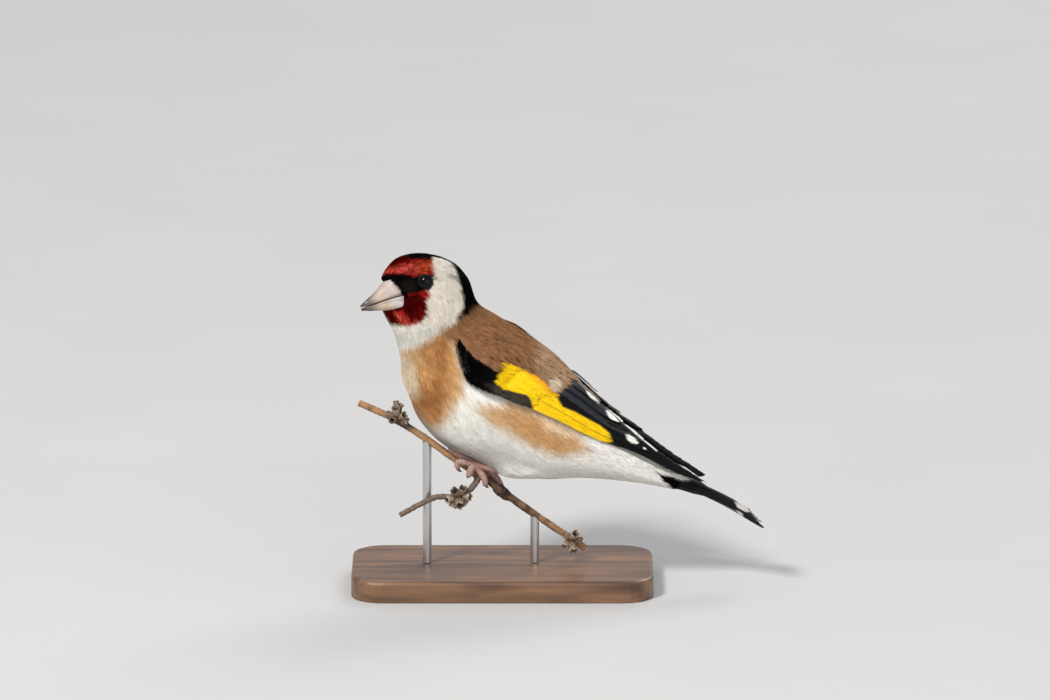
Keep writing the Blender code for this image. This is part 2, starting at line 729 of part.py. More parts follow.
def bud_cluster(centre, lean, count, spread, material):
    """Dry buds that fan out from one place, each an urn with a narrow mouth."""
    centre = np.asarray(centre, float)
    lean = unit(np.asarray(lean, float))
    across = unit(np.cross(lean, (0.0, 1.0, 0.0)))
    other = np.cross(lean, across)
    buds = []
    for k in range(count):
        turn = 2 * math.pi * k / count + 0.5 * math.sin(7.0 * k)
        reach = spread * (0.75 + 0.25 * math.sin(3.0 * k + 1.0))
        out = unit(lean + reach * (math.cos(turn) * across + math.sin(turn) * other))
        start = centre + lean * BUD_STEP * k
        points = [start + out * BUD_LENGTH * u for u, _ in BUD_SHAPE]
        radii = [BUD_RADIUS * full for _, full in BUD_SHAPE]
        buds.append(tube("bud", points, radii, material, 5))
    return buds


def make_twig(name, material):
    """The cut length of twig with its knot, side stem and dry buds."""
    stem = twig_tube(name, material)
    knot_x = [KNOT[0] + (KNOT[1] - KNOT[0]) * k / 4 for k in range(5)]
    knot = tube("knot", [twig_frame(x)[0] + np.array((0.0, 0.0, -0.25)) for x in knot_x],
                [TWIG_RADIUS * full for full in KNOT_SHAPE], material, 7)
    side_points = [smooth(SIDE_STEM, k / 10 * (len(SIDE_STEM) - 1)) for k in range(11)]
    side_radii = [SIDE_RADIUS * (1.15 - 0.25 * k / 10) for k in range(11)]
    pieces = [knot, tube("side", side_points, side_radii, material, 6)]
    for centre, lean, count, spread in BUD_CLUSTERS:
        pieces += bud_cluster(centre, lean, count, spread, material)
    return combine(stem, "UNION", pieces)


def grip_point(side, origin, along, angle, reach):
    """A point beside the twig: along it from the origin, round it, and out from its centre."""
    centre, _, top = twig_frame(origin - along * TWIG_RUN)
    out = np.array([0.0, float(side), 0.0])
    turn = math.radians(angle)
    return centre + reach * (math.cos(turn) * top + math.sin(turn) * out)


def toe_path(side, toe):
    """Points and radii of one toe and its claw, from a smooth curve through its rows."""
    rows = [(k, *row, radius) for k, (row, radius) in enumerate(zip(toe, TOE_RADII))]
    points = []
    radii = []
    for k in range(TOE_STEPS + 1):
        along, angle, reach, radius = smooth(rows, (len(rows) - 1) * k / TOE_STEPS)
        points.append(grip_point(side, GRIP_ORIGIN[side], along, angle, reach))
        radii.append(max(radius, TOE_RADII[-1]))
    return points, radii


def foot_pieces(side, material, grow=0.0):
    """The ankle of a foot and its toes, each with its claw."""
    centre = grip_point(side, GRIP_ORIGIN[side], *ANKLE)
    pieces = [ball("ankle", centre, (ANKLE_RADIUS + grow,) * 3, material, 10, 6)]
    for toe in TOES:
        points, radii = toe_path(side, toe)
        thick = [radius + grow for radius in radii]
        pieces.append(tube("toe", points, thick, material, TOE_SIDES))
    return pieces


def make_foot(name, side, material):
    """One foot: three toes and the hind toe."""
    foot, *toes = foot_pieces(side, material)
    foot.name = name
    return combine(foot, "UNION", toes)


def make_leg(name, side, material):
    """The feathered thigh and the bare shank, down to the foot."""
    ankle = grip_point(side, GRIP_ORIGIN[side], *ANKLE)
    heel = np.array(HEEL[side])
    shank = tube("shank", [ankle, ankle * 0.66 + heel * 0.34, ankle * 0.3 + heel * 0.7, heel],
                 [TARSUS_RADIUS, TARSUS_RADIUS * 0.86, TARSUS_RADIUS * 0.95,
                  TARSUS_RADIUS * 1.3], material, 10)
    thigh = ball(name, THIGH[side], THIGH_RADII, material, 18, 10)
    combine(thigh, "UNION", [shank])
    cutters = foot_pieces(side, material, GAP)
    cutters.append(body_solid("cutter", material, GAP))
    return combine(thigh, "DIFFERENCE", cutters)


def make_base(name, material):
    """The flat base with round corners and a soft upper edge."""
    length, width, height = BASE_SIZE
    outline = []
    for corner in range(4):
        middle = math.pi / 2 * (corner + 0.5)
        x = math.copysign(length / 2 - BASE_CORNER, math.cos(middle))
        y = math.copysign(width / 2 - BASE_CORNER, math.sin(middle))
        for k in range(BASE_ARC + 1):
            turn = math.pi / 2 * (corner + k / BASE_ARC)
            outline.append((x + BASE_CORNER * math.cos(turn), y + BASE_CORNER * math.sin(turn)))
    rings = []
    for inset, rise in ((BASE_FOOT, 0.0), (0.0, BASE_FOOT), (0.0, height - BASE_EDGE),
                        (BASE_EDGE * 0.3, height - BASE_EDGE * 0.3), (BASE_EDGE, height)):
        scale_x = 1 - 2 * inset / length
        scale_y = 1 - 2 * inset / width
        rings.append([(x * scale_x - GRIP_X, y * scale_y, rise - GRIP_HEIGHT)
                      for x, y in outline])
    return loft(name, rings, material)


def make_rod(name, x, material):
    """One upright rod, from just over the base to just under the twig."""
    y, z = smooth(TWIG_PATH, x)
    floor = BASE_SIZE[2] + GAP - GRIP_HEIGHT
    rod = tube(name, [(x, y, floor), (x, y, z)], [ROD_RADIUS] * 2, material, 16)
    return combine(rod, "DIFFERENCE", [twig_tube("cutter", material, GAP)])


def main():
    clear_scene()
    brown = make_material("head_feathers", (0.55, 0.10, 0.05), 0.8)
    white = make_material("neck_feathers", (0.75, 0.68, 0.56), 0.8)
    buff = make_material("torso_feathers", (0.52, 0.33, 0.16), 0.8)
    dark = make_material("wing_feathers", (0.05, 0.045, 0.04), 0.6)
    tail_black = make_material("tail_feathers", (0.04, 0.035, 0.03), 0.6)
    skin = make_material("bare_legs", (0.60, 0.42, 0.34), 0.55)
    eye = make_material("eye", (0.01, 0.008, 0.006), 0.08)
    horn = make_material("bill_horn", (0.72, 0.60, 0.50), 0.4)
    bark = make_material("twig_bark", (0.30, 0.18, 0.09), 0.8)
    wood = make_material("stand_wood", (0.33, 0.20, 0.11), 0.5)
    steel = make_material("stand_metal", (0.55, 0.55, 0.55), 0.35, 1.0)

    whole = body_solid("whole", buff)
    up = (-math.sin(CUT_TILT), 0.0, math.cos(CUT_TILT))
    down = tuple(-value for value in up)
    half = GAP / 2

    def beside(point, step):
        return (point[0] + up[0] * step, point[1] + up[2] * step)

    head = cut_piece("head", whole, [(beside(NAPE_CUT, half), down)], brown)
    neck = cut_piece("neck", whole, [(beside(NAPE_CUT, -half), up),
                                     (beside(MANTLE_CUT, half), down)], white)
    torso = cut_piece("torso", whole, [(beside(MANTLE_CUT, -half), up)], buff)
    combine(torso, "DIFFERENCE", foot_pieces(-1, buff, GAP))
    remove(whole)
    for side in (-1, 1):
        combine(head, "UNION", [lid_ring(side, brown)])
        centre, _ = eye_place(side)
        combine(head, "DIFFERENCE",
                [ball("cutter", centre, (EYE_RADIUS + GAP,) * 3, brown, 16, 8)])
    make_eye("eye_left", -1, eye)
    make_eye("eye_right", 1, eye)
    for name, upper in (("bill_upper", True), ("bill_lower", False)):
        combine(make_bill(name, upper, horn), "DIFFERENCE",
                [body_solid("cutter", horn, GAP)])
    make_wing("wing_left", -1, dark)
    make_wing("wing_right", 1, dark)
    make_tail("tail", tail_black)
    for side, word in ((-1, "left"), (1, "right")):
        make_leg("leg_" + word, side, white)
        make_foot("foot_" + word, side, skin)
    make_twig("perch_twig", bark)
    make_base("stand_base", wood)
    for name, x in ROD_PLACES.items():
        make_rod(name, x, steel)
    for item in bpy.data.objects:
        shade(item)


main()
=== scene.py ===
import functools
import itertools
import math

import bmesh
import bpy
import numpy as np
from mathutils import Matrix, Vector
from mathutils.bvhtree import BVHTree


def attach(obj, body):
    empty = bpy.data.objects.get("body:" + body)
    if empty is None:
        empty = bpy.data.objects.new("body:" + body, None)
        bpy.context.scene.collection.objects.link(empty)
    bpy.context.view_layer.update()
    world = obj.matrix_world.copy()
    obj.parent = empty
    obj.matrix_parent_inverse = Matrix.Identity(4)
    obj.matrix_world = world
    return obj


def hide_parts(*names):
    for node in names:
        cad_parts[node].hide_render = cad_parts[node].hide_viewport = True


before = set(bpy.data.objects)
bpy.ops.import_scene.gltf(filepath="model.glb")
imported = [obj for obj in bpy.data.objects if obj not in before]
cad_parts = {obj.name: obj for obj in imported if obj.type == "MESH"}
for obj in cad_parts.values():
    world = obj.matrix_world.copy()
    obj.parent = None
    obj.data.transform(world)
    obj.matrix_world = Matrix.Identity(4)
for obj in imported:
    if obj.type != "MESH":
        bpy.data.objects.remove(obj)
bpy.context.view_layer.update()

# Lengths are millimetres in the design frame, whose origin is the twig under the left foot:
# +X runs towards the tail, -Y is the bird's left side and +Z is up.
MM = 0.001
SHIFT = np.array([-9.0, 0.0, 34.0])

# The photograph's view: where the design frame's origin shows in it, and pixels in a
# millimetre, in a frame 1050 pixels wide, seen along +Y and from a little above.
PHOTO_ORIGIN = (470.0, 466.0)
PHOTO_SCALE = 3.6
PHOTO_WIDTH = 1050.0
VIEW_RISE = math.radians(12.0)
VIEW_TARGET = (0.00628, 0.0, 0.0669)
LENS = 300.0
SENSOR = 36.0

# Half outlines of head and body: the key, the upper outline's x and z, the lower outline's
# x and z, the half width, and how far the sides lie behind the middle.
BODY_STATIONS = (
    (0, -25.2, 54.3, -24.8, 44.9, 3.3, 4.9),
    (1, -23.9, 56.7, -23.6, 42.5, 4.5, 4.2),
    (2, -20.8, 59.6, -22.2, 39.9, 5.8, 2.6),
    (3, -15.9, 60.7, -20.9, 36.7, 7.6, 1.0),
    (4, -10.8, 60.2, -20.0, 33.4, 8.7, 0.2),
    (5, -5.4, 58.1, -19.4, 30.7, 9.3, 0.0),
    (6, -0.7, 52.9, -19.2, 27.9, 9.9, 0.0),
    (7, 1.9, 46.1, -18.9, 24.7, 11.2, 0.0),
    (8, 7.2, 42.4, -16.9, 19.8, 13.4, 0.0),
    (9, 15.0, 37.5, -13.9, 13.0, 14.9, 0.0),
    (10, 22.8, 32.2, -6.7, 5.8, 15.2, 0.0),
    (11, 28.9, 25.9, 5.4, 1.1, 14.3, 0.0),
    (12, 35.6, 18.0, 18.1, -3.2, 12.6, 0.0),
    (13, 43.9, 9.0, 31.9, -3.1, 10.2, 0.0),
    (14, 51.4, 2.5, 45.0, -4.3, 7.7, 0.0),
    (15, 57.8, -1.5, 55.3, -6.2, 5.7, 0.0),
    (16, 62.5, -3.3, 60.5, -7.7, 3.6, 0.0),
    (17, 69.5, -6.9, 68.0, -10.6, 3.4, 0.0),
)
SKIN_END = 15.0
SKIN_ROWS = 181
SKIN_SIDES = 120
LAST_KEY = 17.0
TAIL_CORE_START = 13.6

# The grid of keys and angles on which wings and thighs are measured over the body.
GRID_KEYS = np.linspace(0.0, LAST_KEY, 121)
GRID_ANGLES = np.linspace(-math.pi, math.pi, 145)
WING_REACH = 7.0
THIGH_REACH = 4.5

# The head's turn about the neck, and the keys between which it sets in.
HEAD_YAW = math.radians(15.0)
HEAD_TURN_X = -7.0
HEAD_TURN_FROM = 7.2
HEAD_TURN_TO = 4.9

EYE_CENTRE = (-14.0, 5.95, 53.7)
EYE_OUTWARD = (-2.9, 7.0, 1.6)
EYE_RADIUS = 2.3
EYE_FLATNESS = 0.8
LID_RADIUS = 1.92
LID_DEPTH = 1.12
LID_THICKNESS = 0.30
EYE_SIDES = 48
LID_STEPS = 144
LID_SIDES = 14

GAPE = (-20.2, 49.7)
BILL_SLOPE = math.radians(18.6)
BILL_ROWS = (
    (-3.0, 6.3, -4.6, 4.2),
    (0.6, 5.9, -4.35, 3.8),
    (3.4, 4.45, -3.75, 2.85),
    (6.4, 2.75, -2.7, 1.95),
    (9.0, 1.65, -1.8, 1.05),
    (10.7, 0.95, -1.1, 0.5),
    (11.4, 0.55, -0.85, 0.2),
)
BILL_OPENING = (0.12, 0.28)

SHOULDER = (-3.0, 36.0)
WING_SLOPE = math.radians(28.8)
WING_LOW = (
    (-1.0, -0.2, 12.4),
    (2.2, -3.4, 14.4),
    (5.1, -5.8, 15.8),
    (10.2, -6.5, 16.8),
    (16.0, -5.6, 17.2),
    (25.7, -4.9, 16.4),
    (34.2, -4.5, 14.6),
    (46.9, -4.5, 10.9),
    (55.7, -3.4, 8.6),
    (64.0, -3.2, 7.2),
    (71.0, -3.2, 6.4),
    (78.0, -2.4, 5.6),
)
WING_HIGH = (
    (-1.0, 7.0, 10.0),
    (6.0, 9.3, 8.8),
    (14.0, 9.9, 7.8),
    (25.7, 9.0, 5.8),
    (34.4, 7.1, 4.4),
    (42.0, 4.6, 3.8),
    (49.6, 2.6, 3.8),
    (56.8, 1.4, 3.8),
    (64.2, 0.3, 3.7),
    (73.9, -0.7, 3.5),
    (78.0, -1.3, 3.4),
)
QUARTER_ARC = 1.11
WING_CORE_END = 54.0
CORE_SINK = 0.8
FEATHER_SINK = 1.7

TAIL_ROOT = (56.55, -3.6)
TAIL_SLOPE = math.radians(26.4)
TAIL_ROLL = math.radians(4.5)
TAIL_CAMBER = 0.9
TAIL_LENGTH = 28.4
TAIL_NOTCH = 5.2
TAIL_ROOF = 0.02
TAIL_WEBS = (2.7, 1.15)
TAIL_FEATHER_ROOT = -2.5
RECTRICES = 6

TWIG_PATH = (
    (-31.0, 2.6, 17.3),
    (-25.0, 1.8, 14.8),
    (-20.8, 1.2, 12.9),
    (-16.1, 0.7, 10.1),
    (-10.6, 0.3, 6.4),
    (-5.0, 0.0, 2.4),
    (0.0, 0.0, -1.0),
    (5.6, 0.0, -4.7),
    (9.7, 0.2, -8.0),
    (16.7, 0.8, -13.2),
    (26.7, 2.2, -20.4),
    (32.0, 3.0, -24.2),
)
TWIG_RADIUS = 1.1
TWIG_SIDES = 28
# Dark bands along the twig: its own dark bark at the left knot, and from under the foot to past the
# knot a painted shadow of the bird.
BARK_AND_SHADOW_BANDS = ((-31, -24.5, -22, -17.5, -15, -4, 0, 3, 13, 19, 24, 32),
              (0.1, 0.1, 0.9, 0.9, 0.0, 0.0, 0.6, 0.85, 0.8, 0.5, 0.05, 0.1))
TWIG_RUN = 0.83
KNOT = (6.5, 11.5)
SIDE_RADIUS = 0.8
SIDE_SIDES = 22
SIDE_STEM = (
    (0, 2.6, -0.3, -2.9),
    (1, 0.6, -0.7, -6.0),
    (2, -3.4, -1.3, -8.6),
    (3, -9.4, -2.6, -8.4),
    (4, -14.4, -3.2, -10.6),
    (5, -19.6, -3.4, -13.4),
)
BUD_LENGTH = 3.4
BUD_RADIUS = 1.15
BUD_SIDES = 60
BUD_CUP = ((0.0, 0.12, 0.4, 0.75, 1.0), (0.3, 0.55, 1.0, 0.86, 0.98))
BUD_HOLLOW = ((0.4, 0.75, 0.98), (0.3, 0.66, 0.86))
BUDS = (
    ((-20.4, 0.6, 13.6), (-1.0, -0.3, 0.45), 1.0),
    ((-20.3, 0.4, 13.8), (-0.15, -0.5, 1.0), 1.1),
    ((-20.0, 0.6, 13.4), (0.7, -0.7, 0.5), 0.95),
    ((-19.6, 0.8, 12.9), (0.9, -0.3, -0.1), 0.85),
    ((-20.6, 0.3, 13.0), (-0.5, -0.9, 0.1), 0.85),
    ((-20.3, 1.5, 13.8), (0.1, 0.6, 0.8), 1.0),
    ((-20.4, 0.9, 16.0), (-0.1, -0.1, 1.0), 0.75),
    ((-20.1, 1.3, 15.6), (0.6, 0.3, 0.8), 0.65),
    ((-3.2, -1.4, -8.2), (-0.4, -0.7, 0.6), 1.05),
    ((-2.8, -1.4, -8.0), (0.3, -0.6, 0.8), 1.0),
    ((-2.6, -1.2, -8.4), (0.9, -0.5, 0.0), 1.0),
    ((-3.8, -1.5, -8.6), (-0.9, -0.4, -0.2), 1.05),
    ((-3.2, -1.6, -8.8), (0.1, -0.8, -0.5), 1.1),
    ((-3.8, -1.3, -8.9), (-0.5, -0.2, -1.0), 1.0),
    ((-2.8, -1.2, -8.8), (0.6, 0.2, -0.8), 0.9),
    ((28.0, 1.8, -21.2), (-0.6, -0.4, 0.5), 0.95),
    ((28.2, 1.6, -21.2), (0.4, -0.7, 0.6), 1.05),
    ((28.6, 1.8, -21.6), (0.9, -0.3, 0.0), 0.9),
    ((28.2, 1.8, -22.0), (0.2, -0.6, -0.8), 1.0),
    ((27.8, 1.9, -21.8), (-0.5, -0.5, -0.5), 0.85),
)

GRIP = TWIG_RADIUS + 0.3 + 0.78
ANKLE = (0.0, 35.0, 2.9)
ANKLE_RADIUS = 1.05
GRIP_ORIGIN = {-1: 0.0, 1: 4.6}
TOES = (
    ((0.0, 35.0, 2.75), (2.6, 27.0, GRIP + 0.15), (5.4, 27.0, GRIP), (7.6, 28.0, GRIP),
     (8.8, 29.0, GRIP + 0.25), (9.9, 31.0, GRIP - 0.2)),
    ((0.0, 42.0, 2.75), (2.2, 52.0, GRIP + 0.15), (3.9, 78.0, GRIP), (3.9, 108.0, GRIP),
     (2.8, 132.0, GRIP + 0.2), (1.6, 148.0, GRIP - 0.1)),
    ((0.0, 48.0, 2.75), (0.0, 76.0, GRIP + 0.15), (-0.3, 106.0, GRIP), (-0.4, 126.0, GRIP),
     (-0.5, 143.0, GRIP + 0.2), (-0.6, 158.0, GRIP - 0.1)),
    ((0.0, 40.0, 2.75), (-2.3, 52.0, GRIP + 0.15), (-4.2, 76.0, GRIP), (-5.2, 98.0, GRIP),
     (-6.2, 118.0, GRIP + 0.25), (-7.2, 134.0, GRIP - 0.2)),
)
TOE_RADII = (1.1, 1.02, 0.98, 0.86, 0.46, 0.1)
CLAW_FROM = 0.74
HEEL = {-1: (13.0, -7.4, -1.3), 1: (16.0, 7.4, -2.2)}
TARSUS_RADIUS = 1.0
TOE_SIDES = 18
TOE_SCUTE = 0.62
SHANK_SIDES = 24
SHANK_SCUTE = 1.0

# The coat's measures at keys from face to tail: spacing of the tufts, their length, the
# width of a barb, and how deep the skin lies under the coat's tips.
COAT = (
    (0, 0.34, 1.0, 0.10, 0.22),
    (2, 0.36, 1.25, 0.10, 0.28),
    (4, 0.44, 1.9, 0.105, 0.36),
    (6, 0.56, 3.2, 0.11, 0.48),
    (8, 0.70, 4.8, 0.12, 0.60),
    (11, 0.76, 6.0, 0.13, 0.65),
    (13, 0.76, 6.0, 0.13, 0.60),
    (15, 0.64, 4.4, 0.12, 0.45),
    (17, 0.60, 3.0, 0.12, 0.40),
)

# Colours, in linear light, of the coat and the markings.
RED = (0.33, 0.014, 0.010)
DEEP_RED = (0.060, 0.0008, 0.001)
DARK_RED = (0.13, 0.003, 0.003)
# A painted highlight on the red of the face.
RED_HIGHLIGHT = (0.50, 0.062, 0.042)
EMBER = (0.46, 0.055, 0.018)
BLACK = (0.0022, 0.0020, 0.0022)
LORE_GREY = (0.011, 0.0085, 0.0065)
WHITE = (0.90, 0.87, 0.80)
DULL_WHITE = (0.72, 0.69, 0.63)
# Painted light: white brightened along the wing's lower edge, against the wing's shadow.
PAINTED_LIGHT_WHITE = (1.0, 0.96, 0.90)
WARM_WHITE = (0.82, 0.755, 0.65)
CREAM = (0.72, 0.58, 0.42)
SAND = (0.64, 0.40, 0.20)
# Painted light: pale sand brightened under the wing's edge, against the wing's shadow.
PAINTED_LIGHT_PALE_SAND = (0.84, 0.62, 0.40)
BUFF = (0.52, 0.27, 0.105)
RUST = (0.36, 0.155, 0.055)
BROWN = (0.28, 0.135, 0.062)
PALE_BROWN = (0.42, 0.265, 0.155)
# Painted shade for the belly's lower edge, over the lower breast's own greyer brown.
PAINTED_SHADE_GREY_BROWN = (0.30, 0.27, 0.225)
GREY = (0.040, 0.034, 0.026)
YELLOW = (0.90, 0.575, 0.008)
ORANGE = (0.76, 0.31, 0.016)
FLANK_SAND = (0.60, 0.33, 0.14)
# Painted light: sand of the flank patch brightened under the wing's edge, against the wing's shadow.
PAINTED_LIGHT_SAND = (0.80, 0.50, 0.25)
NAPE_GREY = (0.36, 0.33, 0.29)
FRINGE_SAND = (0.70, 0.54, 0.38)

# Colours of wing and tail feathers.
WING_BLACK = (0.0075, 0.0078, 0.009)
WING_CORE_BLACK = (0.012, 0.0115, 0.012)
# Tertials: black lifted to a bluish grey by a painted sheen.
TERTIAL_BLACK_AND_SHEEN = (0.029, 0.0325, 0.038)
VANE_EDGE = (0.0045, 0.0045, 0.005)
COVERT_EDGE = (0.09, 0.08, 0.065)
DIM_EDGE = (0.20, 0.155, 0.115)
TAIL_BLACK = (0.0050, 0.0048, 0.0054)
TAIL_PALE = (0.30, 0.28, 0.25)
TAIL_EDGE = (0.03, 0.027, 0.025)

# Colours of bill, eyes and feet.
UPPER_HORN = (0.50, 0.41, 0.375)
UNDER_HORN = (0.66, 0.60, 0.55)
HORN_FLANK = (0.30, 0.235, 0.205)
HORN_WARM = (0.55, 0.38, 0.22)
HORN_DUSK = (0.075, 0.055, 0.043)
HORN_TIP = (0.030, 0.024, 0.022)
# The next two are painted shade: along the slit between the bill's halves, and round the bill's root.
HORN_SLIT_SHADE = (0.10, 0.06, 0.045)
HORN_ROOT_SHADE = (0.24, 0.19, 0.17)
PUPIL = (0.001, 0.001, 0.001)
IRIS = (0.004, 0.0025, 0.002)
LID_DARK = (0.006, 0.0055, 0.005)
# The lid's lighter lower half is a painted highlight.
LID_LIT_GREY = (0.034, 0.032, 0.030)
TOE_PINK = (0.42, 0.255, 0.215)
CLAW_BROWN = (0.13, 0.09, 0.07)

# Colours of twig, stand and room.
BARK_TAN = (0.36, 0.20, 0.095)
# Dark bark, also used for the bird's painted shadow on the twig.
BARK_DARK_AND_SHADOW = (0.035, 0.022, 0.016)
STEM_GREY = (0.16, 0.115, 0.085)
BUD_BROWN = (0.22, 0.15, 0.10)
BUD_PALE = (0.55, 0.44, 0.34)
# Painted shade inside the buds' hollow mouths.
BUD_MOUTH_SHADE = (0.010, 0.007, 0.005)
WOOD_DARK = (0.075, 0.034, 0.016, 1)
WOOD_LIGHT = (0.25, 0.125, 0.06, 1)
STEEL_DARK = (0.50, 0.50, 0.50, 1)
STEEL_LIGHT = (0.66, 0.66, 0.65, 1)
ROOM_LIGHT = (0.93, 0.95, 1.0, 1.0)

# Outlines of the markings where the photograph shows them, in its pixels. Each is painted
# over those before it: its colour, the width of its soft edge, and its points.
# Some of them are painted light and shade, marked where they stand.
MARKINGS = (
    (CREAM, 8.0,
     ((380, 340), (452, 322), (466, 372), (480, 392), (500, 402), (500, 420), (466, 412),
      (450, 420), (440, 428), (400, 400))),
    (BROWN, 6.0,
     ((447, 262), (486, 270), (640, 380), (620, 394), (590, 396), (560, 396), (500, 380),
      (456, 350), (449, 340), (447, 329))),
    (PALE_BROWN, 9.0,
     ((540, 330), (620, 392), (590, 396), (560, 396), (541, 378), (536, 360))),
    (BROWN, 3.0,
     ((438, 336), (446, 329), (452, 318), (470, 322), (470, 350), (458, 345), (448, 339.5))),
    (WHITE, 5.0,
     ((452, 410), (466, 396), (478, 392), (505, 402), (560, 424), (640, 446), (680, 470),
      (720, 500), (560, 500), (440, 440), (438, 430))),
    (WHITE, 5.0,
     ((594, 384), (612, 386), (680, 440), (700, 470), (640, 460))),
    (SAND, 6.0,
     ((402, 352), (422, 343), (438, 338), (448, 342), (460, 354), (465, 374), (466, 388),
      (460, 400), (452, 414), (440, 430), (428, 416), (419, 398), (414, 380), (410, 362))),
    (BUFF, 5.0,
     ((420, 350), (433, 341), (443, 338.5), (453, 345), (456, 362), (458, 376), (454, 390),
      (447, 404), (439, 422), (430, 412), (424, 400), (420, 380), (420, 362))),
    (RUST, 6.0,
     ((436, 341), (447, 339), (451, 352), (448, 370), (444, 384), (442, 396), (437, 410),
      (430, 402), (427, 394), (432, 384), (437, 372), (437, 354))),
    (SAND, 7.0,
     ((476, 409), (492, 406), (508, 404), (523, 406), (545, 415), (567, 426), (587, 437),
      (594, 448), (574, 456), (550, 455), (530, 445), (510, 434), (490, 424))),
    (FLANK_SAND, 9.0,
     ((506, 412), (522, 412), (545, 424), (566, 436), (576, 446), (560, 450), (540, 444),
      (520, 432))),
    (CREAM, 4.0,
     ((392, 362), (404, 360), (412, 366), (417, 380), (417, 392), (413, 402), (404, 396),
      (396, 382))),
    (BUFF, 5.0,
     ((402, 401), (420, 398), (430, 404), (440, 418), (434, 430), (414, 420))),
    # Painted shade along the belly's lower edge, over the lower breast's own greyer brown.
    (PAINTED_SHADE_GREY_BROWN, 6.0,
     ((400, 404), (414, 408), (424, 421), (436, 433), (452, 444), (474, 456), (500, 470),
      (500, 500), (440, 470), (400, 430))),
    (RUST, 9.0,
     ((424, 392), (442, 384), (446, 402), (438, 420), (426, 414), (414, 404))),
    (CREAM, 4.0,
     ((550, 383), (557, 380), (564, 381), (562, 388), (556, 392), (550, 389))),
    # Painted light: the white band under the wing's lower edge, brightened against the wing's shadow.
    (PAINTED_LIGHT_WHITE, 3.0,
     ((463, 384), (480, 390), (507, 401), (507, 407), (480, 401), (464, 392))),
    # Painted light: the flank patch's top under the wing's edge, brightened against the wing's shadow.
    (PAINTED_LIGHT_SAND, 3.0,
     ((505, 401), (530, 412), (552, 424), (552, 429), (530, 417), (505, 406))),
    # Painted light: the flank patch's top further back, brightened against the wing's shadow.
    (PAINTED_LIGHT_PALE_SAND, 3.0,
     ((545, 419), (560, 427), (585, 439), (585, 445), (560, 437), (545, 429))),
    # Painted light: the white under the wing's rear edge, brightened against the wing's shadow.
    (PAINTED_LIGHT_WHITE, 3.0,
     ((584, 438), (620, 450), (664, 468), (662, 473), (620, 457), (584, 445))),
    (BLACK, 1.2,
     ((657.5, 474), (667, 475.5), (676, 478.5), (684, 481), (690, 481), (696, 470), (730, 470),
      (730, 520), (690, 500), (678, 492.5), (670, 488), (662, 479.5))),
    (WARM_WHITE, 1.6,
     ((432, 256), (440, 255), (448, 259), (455, 266), (459, 276), (461.5, 287), (464, 300),
      (463.5, 311), (459.5, 317), (455, 324), (449, 328.5), (441, 334), (432, 339), (422, 345.5),
      (413, 349.5), (401, 352), (388, 350), (380, 335), (383, 310), (400, 300), (420, 290),
      (430, 270))),
    (DULL_WHITE, 6.0,
     ((380, 332), (404, 330), (425, 326), (440, 325), (432, 339), (413, 349.5), (388, 350))),
    (BLACK, 1.2,
     ((392, 266), (396, 257), (404, 251), (430, 244), (448, 250), (458, 262), (459, 269),
      (452, 262.6), (446, 258.6), (440, 257.4), (434, 258.4), (433, 266), (410, 268))),
    (BLACK, 1.2,
     ((452.5, 262), (454.2, 267), (458, 274), (456.8, 278), (457.6, 282.5), (461.3, 288),
      (463, 295), (464.4, 302.4), (463.6, 310), (459.8, 315.4), (458, 320), (462.6, 320.5),
      (468.7, 315.6), (474, 310.5), (480, 303), (478, 285), (466, 268), (456, 258))),
    (RED, 1.2,
     ((372, 284), (382.4, 270), (385, 265), (389.5, 261), (396, 257), (402, 256.5), (409, 258.6),
      (416, 259.8), (423.6, 260.4), (432, 261.6), (433.4, 268), (435, 274), (435.8, 279),
      (431, 281), (416, 281), (397, 280), (386, 281))),
    (DEEP_RED, 3.0,
     ((384, 266), (394, 255), (409, 255), (413, 262), (402, 263), (392, 266), (384, 270))),
    # Painted highlight across the red forehead.
    (RED_HIGHLIGHT, 3.0,
     ((383, 271.5), (392, 268), (402, 265.5), (412, 264), (424, 263.5), (431, 264), (433, 270),
      (428, 274), (418, 275), (404, 272), (392, 272), (384, 274.5))),
    (EMBER, 5.0,
     ((420, 262), (432, 262), (434, 271), (426, 275), (419, 270))),
    (DARK_RED, 2.0,
     ((386, 279), (396, 273), (412, 274), (416, 278), (400, 280))),
    (RED, 1.4,
     ((378, 300), (403, 300), (407.5, 294), (411.3, 292), (419, 290), (426, 288), (432, 290),
      (431.8, 295), (429.3, 301), (429, 307), (428.4, 315), (425.5, 321.5), (418, 325.5),
      (408.5, 328), (398.5, 326.5), (390, 321), (383, 312))),
    (DARK_RED, 2.5,
     ((404, 297), (421, 294), (428, 300), (428, 316), (420, 323), (410, 322), (404, 313))),
    (DEEP_RED, 2.5,
     ((380, 308), (403, 306), (408, 298), (420, 296), (424, 304), (420, 316), (411, 318),
      (404, 311), (397, 314), (401, 327), (390, 326))),
    # Painted highlight on the red below the bill.
    (RED_HIGHLIGHT, 2.0,
     ((395, 312.5), (400, 315.5), (404, 319.5), (410, 321), (409, 325), (403, 325.5), (399, 321.5),
      (396, 317))),
    (BLACK, 1.0,
     ((374, 285), (380, 276.4), (386, 273.2), (392, 272.4), (397.5, 273.4), (407.2, 274.6),
      (416, 277), (420.5, 275), (428, 275), (437, 277), (437, 280), (434.6, 284), (431.4, 289),
      (427, 292), (422.8, 293.4), (411, 294.8), (407.4, 298.5), (404.8, 302.4), (403, 309.4),
      (398, 309.5), (390, 290))),
    (LORE_GREY, 3.0,
     ((402, 282), (410, 279), (417, 283), (418, 291), (411, 293), (404, 290))),
    (NAPE_GREY, 1.2,
     ((449, 276.4), (453, 276.6), (459, 279.5), (459, 283), (453.5, 280), (449.5, 278.6))),
)

